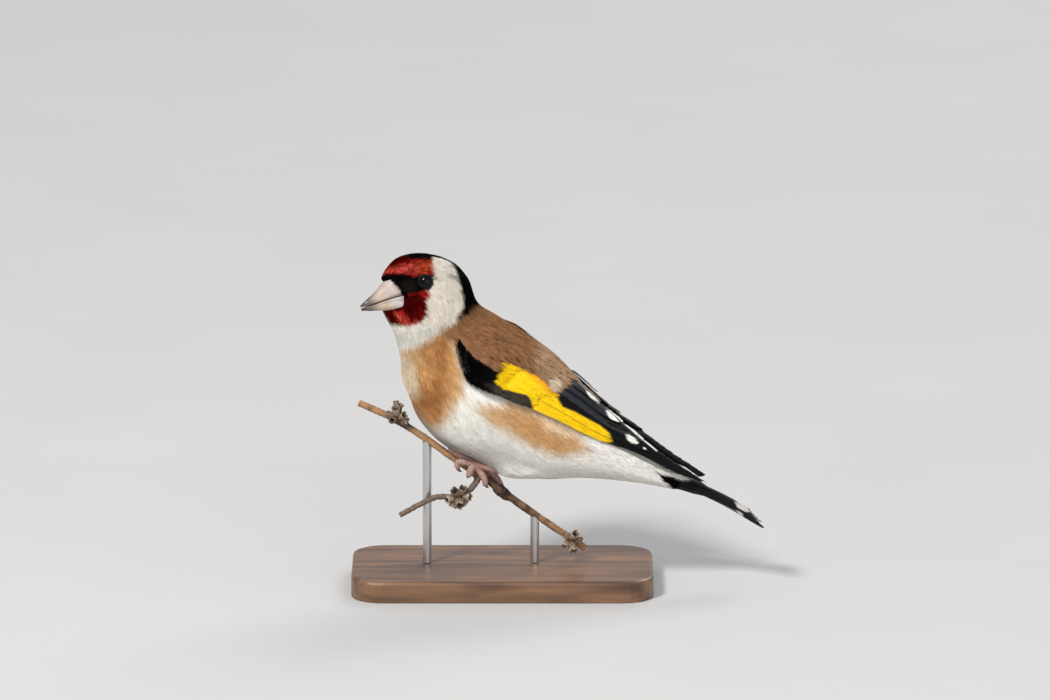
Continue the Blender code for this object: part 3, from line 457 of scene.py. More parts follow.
# Where feathers of the back and the breast lie over the folded wing.
SCAPULARS = ((430, 262), (480, 270), (600, 366), (590, 380), (578, 380), (575.3, 381.5),
             (564.4, 389.5), (558, 395.5), (552, 389), (539.6, 378.5), (527, 371),
             (518, 367.5), (508, 364), (503.5, 368), (499, 374), (486, 365), (471, 357),
             (460.4, 346), (451, 340), (446, 328))
BREAST_FRINGE = ((444, 326), (452, 336), (457, 344), (461, 354), (464, 366), (469, 376),
                 (462, 388), (450, 380), (444, 360))

# The black band over the head, as half widths at keys; where the lower half of the bill stays
# bare; and where the loose hairs over the wing's front are rooted.
MIDLINE_WIDTH = ((2.2, 3.0, 4.2, 5.2, 6.2, 6.8), (-0.1, 0.22, 0.15, 0.18, 0.26, -0.1))
LOWER_HORN = ((392, 299), (403, 300), (404.2, 308.6), (392, 310.5))
FRINGE_ROOTS = ((453.5, 345), (455, 345), (457, 350), (460, 362), (462.5, 370),
                (459, 368), (455.5, 358))

# The cuts of feathers: rows of points, how far one web drops while the other rises by half of
# it, how far the tip droops, and the vane's width from its root to where the tip rounds off.
VANE_CUTS = {
    "long": {"rows": 76, "tilt": 0.3, "droop": 0.0, "widths": ((0.0, 0.35, 0.80), (0.7, 1.0, 0.95))},
    "short": {"rows": 34, "tilt": 0.3, "droop": 0.7, "widths": ((0.0, 0.45, 0.66), (0.6, 1.0, 0.98))},
    "tail": {"rows": 72, "tilt": 0.0, "droop": 0.0, "widths": ((0.0, 0.35, 0.80), (0.7, 1.0, 0.95))},
}
VANE_COLUMNS = np.array((-1.0, -0.93, -0.75, -0.5, -0.25, -0.09, 0.0, 0.05, 0.2, 0.4, 0.6, 0.8,
                         0.94, 1.0))

# The wing's feathers in tiers: their cut, the widths of their two webs, the lifts of root and
# tip, their number, the first and the last root, how much higher each lies than the one
# before, and a line through their tips. Places are mm along and across the wing.
WING_TIERS = {
    "primaries": {"cut": "long", "webs": (1.2, 2.1), "lifts": (-0.7, -0.05), "count": 9,
                  "roots": ((22.0, 1.2), (24.0, 6.4)), "climb": 0.54,
                  "tips": ((79.4, 1.3), (78.2, 1.7), (75.4, 2.1), (71.4, 2.5), (67.4, 3.0),
                           (64.4, 3.4), (62.0, 3.9))},
    "secondaries": {"cut": "long", "webs": (1.3, 2.5), "lifts": (-0.6, 0.6), "count": 6,
                    "roots": ((16.0, 5.2), (17.0, 9.6)), "climb": 0.36,
                    "tips": ((60.4, 2.2), (59.4, 2.8), (58.4, 3.5), (57.2, 4.3), (55.6, 5.2))},
    "tertials": {"cut": "long", "webs": (1.7, 3.0), "lifts": (-0.5, 1.05), "count": 3,
                 "roots": ((16.0, 11.0), (14.0, 16.0)), "climb": 0.28,
                 "tips": ((57.8, 3.9), (50.2, 7.2), (41.8, 10.4))},
    "primary_coverts": {"cut": "short", "webs": (1.0, 1.8), "lifts": (-0.6, 0.35), "count": 5,
                        "roots": ((9.0, 1.1), (10.0, 4.2)), "climb": 0.24,
                        "tips": ((25.6, 0.9), (26.4, 1.7), (26.6, 2.5), (26.2, 3.3))},
    "alula": {"cut": "short", "webs": (1.0, 1.6), "lifts": (-0.6, 0.7), "count": 3,
              "roots": ((5.5, 1.3), (6.0, 2.4)), "climb": 0.1,
              "tips": ((19.6, 1.1), (16.8, 2.0))},
    "greater_coverts": {"cut": "short", "webs": (1.3, 2.0), "lifts": (-0.7, 0.38), "count": 11,
                        "roots": ((12.5, 4.4), (13.0, 14.6)), "climb": 0.30,
                        "tips": ((27.6, 4.2), (29.8, 6.0), (31.0, 8.0), (30.6, 10.1),
                                 (29.0, 12.3), (26.4, 14.6))},
    "median_coverts": {"cut": "short", "webs": (1.3, 1.8), "lifts": (-0.6, 0.45), "count": 10,
                       "roots": ((6.5, 3.6), (7.5, 14.8)), "climb": 0.20,
                       "tips": ((15.4, 3.6), (17.2, 6.2), (18.0, 9.0), (17.6, 11.9),
                                (16.2, 14.8))},
}
FLIGHT_FEATHERS = ("tertials", "secondaries", "primaries")
FRONT_FEATHERS = ("primary_coverts", "alula")

# Outlines of the wing's and the tail's markings, in the photograph's pixels.
YELLOW_BAR = ((507, 358), (518, 360), (527, 364), (540, 371), (553, 382), (561, 391),
              (556.8, 397.5), (562, 406.5), (575, 412), (588, 419), (600, 425.5),
              (609, 433), (612, 442), (604, 442.5), (590, 437.5), (573, 430), (552, 421),
              (533, 411), (532.3, 405), (530.5, 399), (527, 394.8), (515, 392),
              (503, 388.5), (494, 381), (499, 378.5), (496.5, 375), (501.5, 372),
              (502, 364))
ORANGE_PART = ((506, 354), (512, 363), (522, 369.5), (534, 379), (548, 391), (556, 397),
               (564, 392), (556, 372), (530, 352))
PALE_EDGE = ((579, 378), (592, 387), (603, 398), (617, 413.8), (639, 434.8), (657, 450.3),
             (657, 451.8), (638, 436.6), (615, 415.8), (600, 401.5), (590, 393), (578, 384))
WHITE_SPOTS = (
    ("tertials", ((585, 389), (588, 390), (594.5, 396.5), (599.5, 402.6), (598, 404),
                  (593, 400.5), (588, 395))),
    ("tertials", ((605.5, 410), (609, 411), (614.5, 416.5), (620, 422.8), (618.5, 424.5),
                  (613, 421), (608, 416))),
    ("all", ((625.5, 434.6), (629, 434.6), (634.5, 438.3), (638.5, 442.6),
             (637, 444.4), (631.5, 443), (627, 439.2))),
    ("all", ((642.8, 447), (645.5, 448), (646.5, 449.6), (643.8, 449.2))),
    ("primaries", ((702, 481.2), (706, 482.8), (711, 486.2), (710, 487.4), (704, 484.6))),
)
TAIL_SPOTS = (
    ((735, 502.5), (740, 504), (749, 509.5), (751, 513), (745, 512), (738, 508)),
    ((735.5, 510.6), (739, 511.6), (743.5, 514.6), (743, 516), (739.5, 514.2)),
)
TAIL_LINE = ((676, 485), (690, 490.5), (706, 497), (722, 504), (738, 511.5), (738, 513),
             (722, 505.6), (706, 498.6), (690, 492), (676, 486.3))

# A tuft's barbs: rows of points from root to tip, how a barb rises, tapers and brightens along
# its length, and the most triangles that one piece of the coat takes.
SHORT_ROWS = (0.0, 0.5, 1.0)
LONG_ROWS = (0.0, 0.4, 0.75, 1.0)
BARB_RISE = 0.75
BARB_TAPER = ((0.0, 0.5, 0.8, 1.0), (0.8, 1.0, 0.7, 0.0))
BARB_SHADE = ((0.0, 0.35, 1.0), (0.74, 0.94, 1.05))
MOST_TRIANGLES = 190000

# How the body's tufts are spread: places drawn for each tuft, and the least gap between roots
# as a part of the spacing. Then the share of wing from which a tuft counts as hidden, and how
# clear of a place in front of the eye the roots and tips of tufts stay.
DRAWS_PER_TUFT = 3.2
LEAST_GAP = 0.82
HIDDEN_FROM = 0.4
EYE_SPOT = 1.9
ROOTS_CLEAR = 2.2
TIPS_CLEAR = 1.95

# Tufts elsewhere: how many places are drawn, the gap kept between them, and their fans.
COVERT_DRAWS = 26000
COVERT_GAP = 0.48
COVERT_FAN = (5, SHORT_ROWS, 0.4)
FRINGE_DRAWS = 30000
FRINGE_GAP = 0.42
FRINGE_FAN = (3, SHORT_ROWS, 0.6)
BRISTLE_DRAWS = 5200
BRISTLE_GAP = 0.24
BRISTLE_FAN = (3, SHORT_ROWS, 0.3)
BRISTLE_REACH = ((0.0, 0.26, 0.51, 0.68, 0.8, 0.93, 1.0), (0.1, 0.0, 0.45, 1.05, 1.45, 0.75, 0.1))

# The coat's pieces: the keys they lie between, their slot, their seed, and how a tuft fans
# out: its number of barbs, their rows of points and how far they spread.
COAT_PIECES = (
    ("coat_face", (0.0, 3.4), "head_feathers", 11, (3, SHORT_ROWS, 0.34)),
    ("coat_nape", (3.4, 6.2), "head_feathers", 21, (5, SHORT_ROWS, 0.32)),
    ("coat_neck", (6.2, 8.2), "neck_feathers", 31, (7, LONG_ROWS, 0.26)),
    ("coat_breast", (8.2, 11.0), "torso_feathers", 41, (8, LONG_ROWS, 0.22)),
    ("coat_belly", (11.0, 15.6), "torso_feathers", 51, (8, LONG_ROWS, 0.20)),
)

# The lamps: place, size, power and colour.
LAMPS = (
    ("key_light", (-1.0, -1.4, 1.7), 0.45, 48.0, (1.0, 0.97, 0.92)),
    ("fill_light", (0.9, -2.4, 0.6), 2.4, 22.0, (0.97, 0.98, 1.0)),
    ("back_light", (0.8, 1.5, 1.5), 1.0, 16.0, (1.0, 0.98, 0.95)),
)
ROOM_STRENGTH = 0.46
FLOOR_HALF = 12.0


# Curves, colours and places.
def smooth(table, key):
    """Values at keys on the smooth curve through a table whose first column is the key."""
    rows = np.asarray(table, float)
    keys = rows[:, 0]
    values = rows[:, 1:]
    key = np.clip(np.asarray(key, float), keys[0], keys[-1])
    i = np.clip(np.searchsorted(keys, key, side="right") - 1, 0, len(keys) - 2)
    span = (keys[i + 1] - keys[i])[..., None]
    u = (key - keys[i])[..., None] / span
    slopes = np.gradient(values, keys, axis=0)
    start = (1 + 2 * u) * (1 - u) ** 2 * values[i] + u * (1 - u) ** 2 * span * slopes[i]
    end = u * u * (3 - 2 * u) * values[i + 1] + u * u * (u - 1) * span * slopes[i + 1]
    return start + end


def ease(u):
    """A smooth step from 0 to 1."""
    u = np.clip(u, 0.0, 1.0)
    return u * u * (3 - 2 * u)


def unit(vectors):
    """Vectors at length 1."""
    vectors = np.asarray(vectors, float)
    return vectors / np.maximum(np.linalg.norm(vectors, axis=-1, keepdims=True), 1e-12)


def ripple(points, size, seed):
    """A smooth random field over points, about -1 to 1, with features of a given size."""
    rng = np.random.default_rng(seed)
    total = 0.0
    for _ in range(9):
        wave = unit(rng.normal(size=3)) * (2 * math.pi / size) * rng.uniform(0.6, 1.6)
        total = total + np.sin(np.asarray(points) @ wave + rng.uniform(0, 2 * math.pi))
    return total / 3.0


def turn_head(points, weight=1.0):
    """Points of the head, turned towards the bird's left about the neck."""
    points = np.asarray(points, float)
    yaw = HEAD_YAW * weight
    ahead = points[..., 0] - HEAD_TURN_X
    return np.stack([HEAD_TURN_X + ahead * np.cos(yaw) - points[..., 1] * np.sin(yaw),
                     ahead * np.sin(yaw) + points[..., 1] * np.cos(yaw),
                     points[..., 2]], axis=-1)


def body(key, angle, grow=0.0):
    """Points of the body's surface; the angle runs from the back round to the belly."""
    key, angle, grow = np.broadcast_arrays(np.asarray(key, float), angle, grow)
    high_x, high_z, low_x, low_z, width, sweep = np.moveaxis(smooth(BODY_STATIONS, key), -1, 0)
    half_x = (high_x - low_x) / 2
    half_z = (high_z - low_z) / 2
    reach = (1 + grow / np.hypot(half_x, half_z)) * np.cos(angle)
    back = np.where(np.cos(angle) < 0, 1 - np.cos(angle) ** 4, np.abs(np.sin(angle)) ** 1.25)
    points = np.stack([(high_x + low_x) / 2 + half_x * reach + sweep * back,
                       (width + grow) * np.sin(angle),
                       (high_z + low_z) / 2 + half_z * reach], axis=-1)
    return turn_head(points, ease((HEAD_TURN_FROM - key) / (HEAD_TURN_FROM - HEAD_TURN_TO)))


def photo_place(points):
    """Where points show in the photograph."""
    rise = points[..., 2] * math.cos(VIEW_RISE) + points[..., 1] * math.sin(VIEW_RISE)
    return (PHOTO_ORIGIN[0] + PHOTO_SCALE * points[..., 0],
            PHOTO_ORIGIN[1] - PHOTO_SCALE * rise)


def inside(outline, x, y, soft):
    """How far places are inside an outline, from 0 to 1 across its soft edge."""
    corners = np.asarray(outline, float)
    shape = np.shape(x)
    px = np.ravel(x)[:, None]
    py = np.ravel(y)[:, None]
    ax, ay = corners.T
    bx, by = np.roll(corners, -1, axis=0).T
    dx = bx - ax
    dy = by - ay
    u = np.clip(((px - ax) * dx + (py - ay) * dy) / (dx * dx + dy * dy), 0, 1)
    away = np.hypot(px - ax - u * dx, py - ay - u * dy).min(axis=1)
    steep = np.where(dy == 0, 1e-9, dy)
    crossed = ((ay > py) != (by > py)) & (px < ax + (py - ay) * dx / steep)
    sign = np.where(crossed.sum(axis=1) % 2 == 1, 1.0, -1.0)
    return ease(0.5 + 0.5 * sign * away / soft).reshape(shape)


def mix(first, second, share):
    """A blend between colours."""
    share = np.asarray(share)[..., None]
    return np.asarray(first) * (1 - share) + np.asarray(second) * share


def marks(x, y):
    """The plumage's colour at places of the photograph, with its painted light and shade."""
    colour = np.broadcast_to(np.asarray(WHITE), (*np.shape(x), 3))
    for paint, soft, outline in MARKINGS:
        colour = mix(colour, paint, inside(outline, x, y, soft))
    return colour


def midline(key, angle):
    """How far a place lies in the black band over the top of the head, from 0 to 1."""
    half = np.interp(key, *MIDLINE_WIDTH)
    return ease((half + 0.03 - np.abs(angle)) / 0.05)


def seen_from_left(points):
    """Where points show in the photograph, those on the right mirrored to the left."""
    return photo_place(np.where(points[..., 1:2] > 0, points * (1.0, -1.0, 1.0), points))


def chosen(mask, *columns):
    """The entries of several arrays that a mask picks."""
    return [column[mask] for column in columns]


# How far wings and thighs stand out from the body.
def node_tree(*names):
    """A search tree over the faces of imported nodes, in the design frame."""
    points = []
    faces = []
    for name in names:
        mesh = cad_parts[name].data
        start = len(points)
        points += [Vector(np.array(vertex.co) / MM - SHIFT) for vertex in mesh.vertices]
        faces += [[start + k for k in face.vertices] for face in mesh.polygons]
    return BVHTree.FromPolygons(points, faces)


def rise_grid(nodes, limit, widen, blur):
    """How far nodes stand out over the body's surface, on a grid of keys and angles."""
    tree = node_tree(*nodes)
    key, angle = np.meshgrid(GRID_KEYS, GRID_ANGLES, indexing="ij")
    base = body(key, angle)
    out = unit(body(key, angle, 1.0) - base)
    grid = np.zeros(key.shape)
    for i in range(len(GRID_KEYS)):
        for j in range(len(GRID_ANGLES)):
            start = Vector(base[i, j] + out[i, j] * limit)
            _, _, _, away = tree.ray_cast(start, Vector(-out[i, j]), limit)
            if away is not None:
                grid[i, j] = limit - away
    solid = grid.copy()
    ring = grid[:, :-1]
    for _ in range(widen):
        ring = np.maximum.reduce([ring, np.roll(ring, 1, 1), np.roll(ring, -1, 1),
                                  np.vstack([ring[1:], ring[-1:]]),
                                  np.vstack([ring[:1], ring[:-1]])])
    for _ in range(blur):
        ring = (ring + np.roll(ring, 1, 1) + np.roll(ring, -1, 1)) / 3
        ring = (ring + np.vstack([ring[1:], ring[-1:]]) + np.vstack([ring[:1], ring[:-1]])) / 3
    return solid, np.hstack([ring, ring[:, :1]])


def look_up(grid, key, angle):
    """A grid's value between its points."""
    key = np.clip(np.asarray(key, float), 0, LAST_KEY)
    turn = (np.asarray(angle, float) + math.pi) % (2 * math.pi)
    i = key / LAST_KEY * (len(GRID_KEYS) - 1)
    j = turn / (2 * math.pi) * (len(GRID_ANGLES) - 1)
    i0 = np.clip(i.astype(int), 0, len(GRID_KEYS) - 2)
    j0 = np.clip(j.astype(int), 0, len(GRID_ANGLES) - 2)
    u = i - i0
    v = j - j0
    return ((1 - u) * ((1 - v) * grid[i0, j0] + v * grid[i0, j0 + 1])
            + u * ((1 - v) * grid[i0 + 1, j0] + v * grid[i0 + 1, j0 + 1]))


WING_SOLID, WING_RISE = rise_grid(("wing_left", "wing_right"), WING_REACH, widen=1, blur=3)
_, THIGH_RISE = rise_grid(("leg_left", "leg_right"), THIGH_REACH, widen=0, blur=3)


def coat_point(key, angle, lift, over=0.0):
    """Points over the skin, raised over the folded wings where over is 1."""
    return body(key, angle,
                lift + look_up(THIGH_RISE, key, angle) + over * look_up(WING_RISE, key, angle))


# Pieces.
def add_object(name, data):
    """An object of the scene with its mesh, lamp or lens."""
    item = bpy.data.objects.new(name, data)
    bpy.context.scene.collection.objects.link(item)
    return item


def make_object(name, points, faces, material, replaced, tint, uv, grain=None, normals=None):
    """A piece from points in the design frame and triangles or quads."""
    points = (np.asarray(points, float) + SHIFT) * MM
    faces = np.asarray(faces, np.int32)
    size = faces.shape[1]
    mesh = bpy.data.meshes.new(name)
    mesh.vertices.add(len(points))
    mesh.vertices.foreach_set("co", points.astype(np.float32).ravel())
    mesh.loops.add(faces.size)
    mesh.loops.foreach_set("vertex_index", faces.ravel())
    mesh.polygons.add(len(faces))
    mesh.polygons.foreach_set("loop_start", np.arange(0, faces.size, size, dtype=np.int32))
    mesh.update(calc_edges=True)
    mesh.polygons.foreach_set("use_smooth", np.ones(len(faces), bool))
    if normals is not None:
        mesh.normals_split_custom_set_from_vertices(normals)
    layer = mesh.color_attributes.new("tint", "FLOAT_COLOR", "POINT")
    full = np.ones((len(points), 4), np.float32)
    full[:, :3] = tint
    layer.data.foreach_set("color", full.ravel())
    chart = mesh.uv_layers.new(name="OFBake")
    chart.data.foreach_set("uv", np.asarray(uv, np.float32)[faces.ravel()].ravel())
    if grain is not None:
        layer = mesh.attributes.new("grain", "FLOAT_VECTOR", "POINT")
        layer.data.foreach_set("vector", np.asarray(grain, np.float32).ravel())
    mesh.materials.append(material)
    item = add_object(name, mesh)
    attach(item, "root")
    if replaced:
        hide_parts(*replaced)
    return item


def grid_faces(rows, columns, start=0, wrap=False):
    """Quads between the points of a grid."""
    span = columns if wrap else columns - 1
    r, c = np.meshgrid(np.arange(rows - 1), np.arange(span), indexing="ij")
    a = (start + r * columns + c).ravel()
    b = (start + r * columns + (c + 1) % columns).ravel()
    return np.stack([a, b, b + columns, a + columns], axis=-1)


def full_turn(count):
    """Even steps round a full turn."""
    return np.linspace(0, 2 * math.pi, count + 1)[:-1]


def spokes(turn, across, upward):
    """Directions round a circle."""
    return np.cos(turn)[..., None] * across + np.sin(turn)[..., None] * upward


def tinted_loft(rings, tint, down=(0.01, 0.99), over=(0.01, 0.99)):
    """Points, quads, tint and chart of a closed body through rings of tinted points.

    Each end is drawn in to its middle.
    """
    rows = len(rings) + 2
    columns = rings.shape[1]
    first, last = (np.broadcast_to(ring.mean(axis=0), (1, columns, 3)) for ring in rings[[0, -1]])
    points = np.concatenate([first, rings, last]).reshape(-1, 3)
    tint = np.concatenate([tint[:1], tint, tint[-1:]]).reshape(-1, 3)
    chart = np.stack(np.meshgrid(np.linspace(*down, rows), np.linspace(*over, columns),
                                 indexing="ij"), axis=-1)
    return points, grid_faces(rows, columns, wrap=True), tint, chart.reshape(-1, 2)


def shell(top, bottom):
    """Points and quads of a thin body between two grids of points, closed round its rim."""
    rows, columns = top.shape[:2]
    count = rows * columns
    index = np.arange(count).reshape(rows, columns)
    ring = np.concatenate([index[0], index[1:, -1], index[-1, -2::-1], index[-2:0:-1, 0]])
    after = np.roll(ring, -1)
    rim = np.stack([ring, ring + count, after + count, after], axis=-1)
    upper = grid_faces(rows, columns)
    lower = grid_faces(rows, columns, count)[:, ::-1]
    points = np.concatenate([top.reshape(-1, 3), bottom.reshape(-1, 3)])
    return points, np.concatenate([upper, lower, rim])


def joined(parts):
    """Points, quads, tint and chart of several bodies as one, each with its strip of the chart."""
    start = 0
    columns = []
    for n, (points, faces, tint, chart, *more) in enumerate(parts):
        strip = chart * (1.0, 1.0 / len(parts)) + (0.0, n / len(parts))
        columns.append((points, faces + start, tint, strip, *more))
        start += len(points)
    return [np.concatenate(column) for column in zip(*columns)]


def weld(item):
    """Joins points that lie at one place and turns the faces outwards."""
    work = bmesh.new()
    work.from_mesh(item.data)
    bmesh.ops.remove_doubles(work, verts=work.verts, dist=1e-7)
    bmesh.ops.dissolve_degenerate(work, edges=work.edges, dist=1e-8)
    bmesh.ops.recalc_face_normals(work, faces=work.faces)
    if work.calc_volume(signed=True) < 0:
        bmesh.ops.reverse_faces(work, faces=work.faces)
    work.to_mesh(item.data)
    work.free()


# The coat.
def scatter(keys, seed):
    """Even, random roots of tufts on the body between two keys, as keys and angles."""
    rng = np.random.default_rng(seed)
    cell_keys = np.linspace(keys[0], keys[1], max(int((keys[1] - keys[0]) * 12), 8))
    cell_angles = np.linspace(-math.pi, math.pi, 121)
    key, angle = np.meshgrid((cell_keys[1:] + cell_keys[:-1]) / 2,
                             (cell_angles[1:] + cell_angles[:-1]) / 2, indexing="ij")
    dk = (cell_keys[1] - cell_keys[0]) / 2
    da = (cell_angles[1] - cell_angles[0]) / 2
    along = body(key + dk, angle) - body(key - dk, angle)
    across = body(key, angle + da) - body(key, angle - da)
    area = np.linalg.norm(np.cross(along, across), axis=-1)
    share = (area / smooth(COAT, key)[..., 0] ** 2).ravel()
    count = int(share.sum() * DRAWS_PER_TUFT)
    picks = rng.choice(share.size, size=count, p=share / share.sum())
    key = key.ravel()[picks] + rng.uniform(-dk, dk, count)
    angle = angle.ravel()[picks] + rng.uniform(-da, da, count)
    return spread_out(body(key, angle), LEAST_GAP * smooth(COAT, key)[..., 0], key, angle)


def all_clear(point, others, gap):
    """Whether a point is at least a gap away from others."""
    return all((point[0] - x) ** 2 + (point[1] - y) ** 2 + (point[2] - z) ** 2 >= gap * gap
               for x, y, z in others)


def spread_out(points, gaps, *columns):
    """Keeps points that are at least their gap from those kept before."""
    gaps = np.broadcast_to(gaps, len(points))
    size = float(gaps.max())
    steps = list(itertools.product((-1, 0, 1), repeat=3))
    cells = {}
    kept = []
    for n, (point, gap) in enumerate(zip(points.tolist(), gaps.tolist())):
        i, j, k = (int(value // size) for value in point)
        around = (cells.get((i + di, j + dj, k + dk), ()) for di, dj, dk in steps)
        if all(all_clear(point, others, gap) for others in around if others):
            cells.setdefault((i, j, k), []).append(point)
            kept.append(n)
    return [column[kept] for column in columns]


def tangents(surface, a, b, lie):
    """Steps along and across the lie, in a surface's own two coordinates for each mm.

    The lie is a direction in 3-D, laid into the surface.
    """
    eps = 0.02
    pa = (surface(a + eps, b, 0.0) - surface(a - eps, b, 0.0)) / (2 * eps)
    pb = (surface(a, b + eps, 0.0) - surface(a, b - eps, 0.0)) / (2 * eps)
    normal = unit(np.cross(pa, pb))
    outward = surface(a, b, 0.5) - surface(a, b, 0.0)
    normal = normal * np.where(np.sum(outward * normal, axis=-1, keepdims=True) < 0, -1, 1)
    ahead = lie(a, b, unit(pa), unit(pb))
    ahead = unit(ahead - normal * np.sum(ahead * normal, axis=-1, keepdims=True))
    beside = np.cross(normal, ahead)
    aa = np.sum(pa * pa, axis=-1)
    bb = np.sum(pb * pb, axis=-1)
    ab = np.sum(pa * pb, axis=-1)
    det = np.maximum(aa * bb - ab * ab, 1e-9)

    def solve(direction):
        da = np.sum(direction * pa, axis=-1)
        db = np.sum(direction * pb, axis=-1)
        return np.stack([(da * bb - db * ab) / det, (db * aa - da * ab) / det], axis=-1)

    return solve(ahead), solve(beside), normal


def barb_lines(surface, roots, measures, fan, rng):
    """Middle lines of the barbs of each tuft, fanned out and raised from root to tip."""
    barbs, rows, spread = fan
    a, b, ahead, beside, _ = roots
    count = len(a)
    length, width, depth, tip_lift = [measure[:, None, None] for measure in measures]
    place = np.linspace(-1.0, 1.0, barbs)[None, :, None]
    t = np.asarray(rows)[None, None, :]
    lean = place + rng.normal(0, 0.16, (count, barbs, 1))
    reach = length * (1 - 0.28 * np.abs(place) ** 1.6) * (1 + rng.normal(0, 0.09, (count, barbs, 1)))
    side = lean * spread * reach * (t - 0.42 * t * t) + place * width * 0.6
    fore = reach * t + rng.uniform(-0.12, 0.12, (count, barbs, 1)) * length * (1 - t)
    lift = -depth + (depth + tip_lift) * t ** BARB_RISE
    lift = lift + rng.normal(0, 0.05, (count, barbs, 1)) * depth * t
    where = [start[:, None, None] + fore * ahead[:, i, None, None] + side * beside[:, i, None, None]
             for i, start in enumerate((a, b))]
    return surface(*where, lift)


def barb_bodies(centre, normal, width, rows, rng):
    """Points of three-sided, pointed barbs about their middle lines, and their normals."""
    count, barbs = centre.shape[:2]
    ahead = unit(np.gradient(centre, axis=2))
    skyward = np.broadcast_to(normal[:, None, None, :], ahead.shape)
    wide = unit(np.cross(ahead, skyward))
    up = np.cross(wide, ahead)
    roll = rng.normal(0, 0.15, (count, barbs, 1, 1))
    wide, up = (wide * np.cos(roll) + up * np.sin(roll), up * np.cos(roll) - wide * np.sin(roll))
    taper = np.interp(np.asarray(rows), *BARB_TAPER)
    half = (width[:, None, None] * taper[None, None, :] / 2)[..., None]
    corners = np.stack([centre - wide * half, centre + up * half * 0.8, centre + wide * half], axis=3)
    facing = np.stack([skyward - 0.45 * wide, skyward, skyward + 0.45 * wide], axis=3)
    return [np.concatenate([rings[:, :, :-1].reshape(count, barbs, -1, 3), tips[:, :, -1:]], axis=2)
            for rings, tips in ((corners, centre), (unit(facing), unit(skyward)))]


def barb_pattern(rows):
    """Triangles of one barb: its closed root, its sides and its point."""
    pattern = [(0, 2, 1)]
    for p in range(3 * (rows - 1)):
        q = p + 1 if p % 3 < 2 else p - 2
        pattern += [(p, q, q + 3), (p, q + 3, p + 3)]
    last = 3 * (rows - 1)
    pattern += [(last + k, last + (k + 1) % 3, 3 * rows) for k in range(3)]
    return np.array(pattern)


def tufts(name, surface, roots, measures, colours, charts, material, seed, fan):
    """Tufts of tapered barbs, rooted in the skin and laid along the coat.

    Roots hold the tufts' places on the surface, steps along and across their lie, and their
    normals. Measures hold length, barb width, depth of the root and lift of the tip.
    """
    rng = np.random.default_rng(seed)
    barbs, rows, _ = fan
    count = len(colours)
    measures = [np.broadcast_to(measure, count) for measure in measures]
    centre = barb_lines(surface, roots, measures, fan, rng)
    points, facing = barb_bodies(centre, roots[-1], measures[1], rows, rng)
    pattern = barb_pattern(len(rows) - 1)
    per = points.shape[2]
    level = np.append(np.repeat(np.asarray(rows)[:-1], 3), 1.0)
    shade = np.interp(level, *BARB_SHADE)
    vary = (0.12 - 0.09 * np.clip(colours[:, 1], 0, 1))[:, None, None, None]
    tone = (1 + rng.normal(0, 1.0, (count, barbs, 1, 1)) * vary) * shade[None, None, :, None]
    tint = np.clip(colours[:, None, None, :] * tone, 0, 1)
    place = np.linspace(-1.0, 1.0, barbs)[None, :, None]
    patch = np.stack([np.broadcast_to((place + 1) / 2, (count, barbs, per)),
                      np.broadcast_to(level, (count, barbs, per))], axis=-1) * 0.003
    low = charts.min(axis=0)
    size = np.maximum(charts.max(axis=0) - low, 1e-6)
    chart = ((charts - low) / size * 0.97 + 0.01)[:, None, None, :] + patch
    most = max(int(MOST_TRIANGLES / (barbs * len(pattern))), 1)
    for n, start in enumerate(range(0, count, most)):
        part = slice(start, min(start + most, count))
        some = (part.stop - part.start) * barbs
        faces = (np.arange(some)[:, None, None] * per + pattern[None]).reshape(-1, 3)
        make_object(f"{name}_{n}" if count > most else name, points[part].reshape(-1, 3), faces,
                    material, (), tint[part].reshape(-1, 3), chart[part].reshape(-1, 2),
                    normals=facing[part].reshape(-1, 3))


def body_lie(a, b, ahead, beside):
    """The coat's direction on the body: backwards, and a little down on the flanks."""
    side = np.where(np.sin(b) > 0, 1.0, -1.0) * ease((a - 7.5) / 1.5)
    sag = 0.16 * side * np.abs(np.sin(b))
    return ahead + beside * sag[..., None]


def under_wing(key, angle, ahead, length, over):
    """Whether tufts lie hidden under the folded wings."""
    ends = [look_up(WING_SOLID, key + ahead[:, 0] * length * part, angle + ahead[:, 1] * length * part)
            for part in (0.75, 1.0)]
    return (ends[0] > HIDDEN_FROM) & (ends[1] > HIDDEN_FROM) & (over < 0.4)


def clear_face(key, root, tip):
    """Whether tufts leave the lower half of the bill and the eyes free."""
    x, y = seen_from_left(tip)
    free = (inside(LOWER_HORN, x, y, 0.3) < 0.5) | (key > 2.2)
    for side in (-1, 1):
        eye, outward = eye_place(side)
        spot = eye + outward * EYE_SPOT
        free &= np.linalg.norm(root - spot, axis=-1) > ROOTS_CLEAR
        free &= np.linalg.norm(tip - spot, axis=-1) > TIPS_CLEAR
    return free


def coat_colours(x, y, key, angle, rng):
    """Colours of tufts from the markings where they show, each a little off its neighbours'."""
    count = len(key)
    stray = 0.5 + 0.7 * ease((key - 6.0) / 2.0) - 0.9 * ease((key - 12.6) / 0.8)
    colour = marks(x + rng.normal(0, 1, count) * stray, y + rng.normal(0, 1, count) * stray)
    colour = mix(colour, BLACK, midline(key, angle))
    # Dark and red tufts vary the most, and some of the red ones are deep red.
    patchy = ripple(body(key, angle), 3.0, 5)[:, None]
    ruddy = ease((colour[:, :1] - 6 * colour[:, 1:2]) / 0.1)
    vary = 0.15 - 0.12 * np.clip(colour[:, 1:2], 0, 1) + 0.25 * ruddy
    colour = colour * (1 + 0.6 * np.minimum(vary, 0.15) * patchy)
    colour = colour * np.exp(vary * rng.normal(0, 1.0, (count, 1)))
    ruby = (ruddy[:, 0] > 0.5) & (rng.uniform(0, 1, count) < 0.3)
    return np.where(ruby[:, None], colour * 0.35, colour)


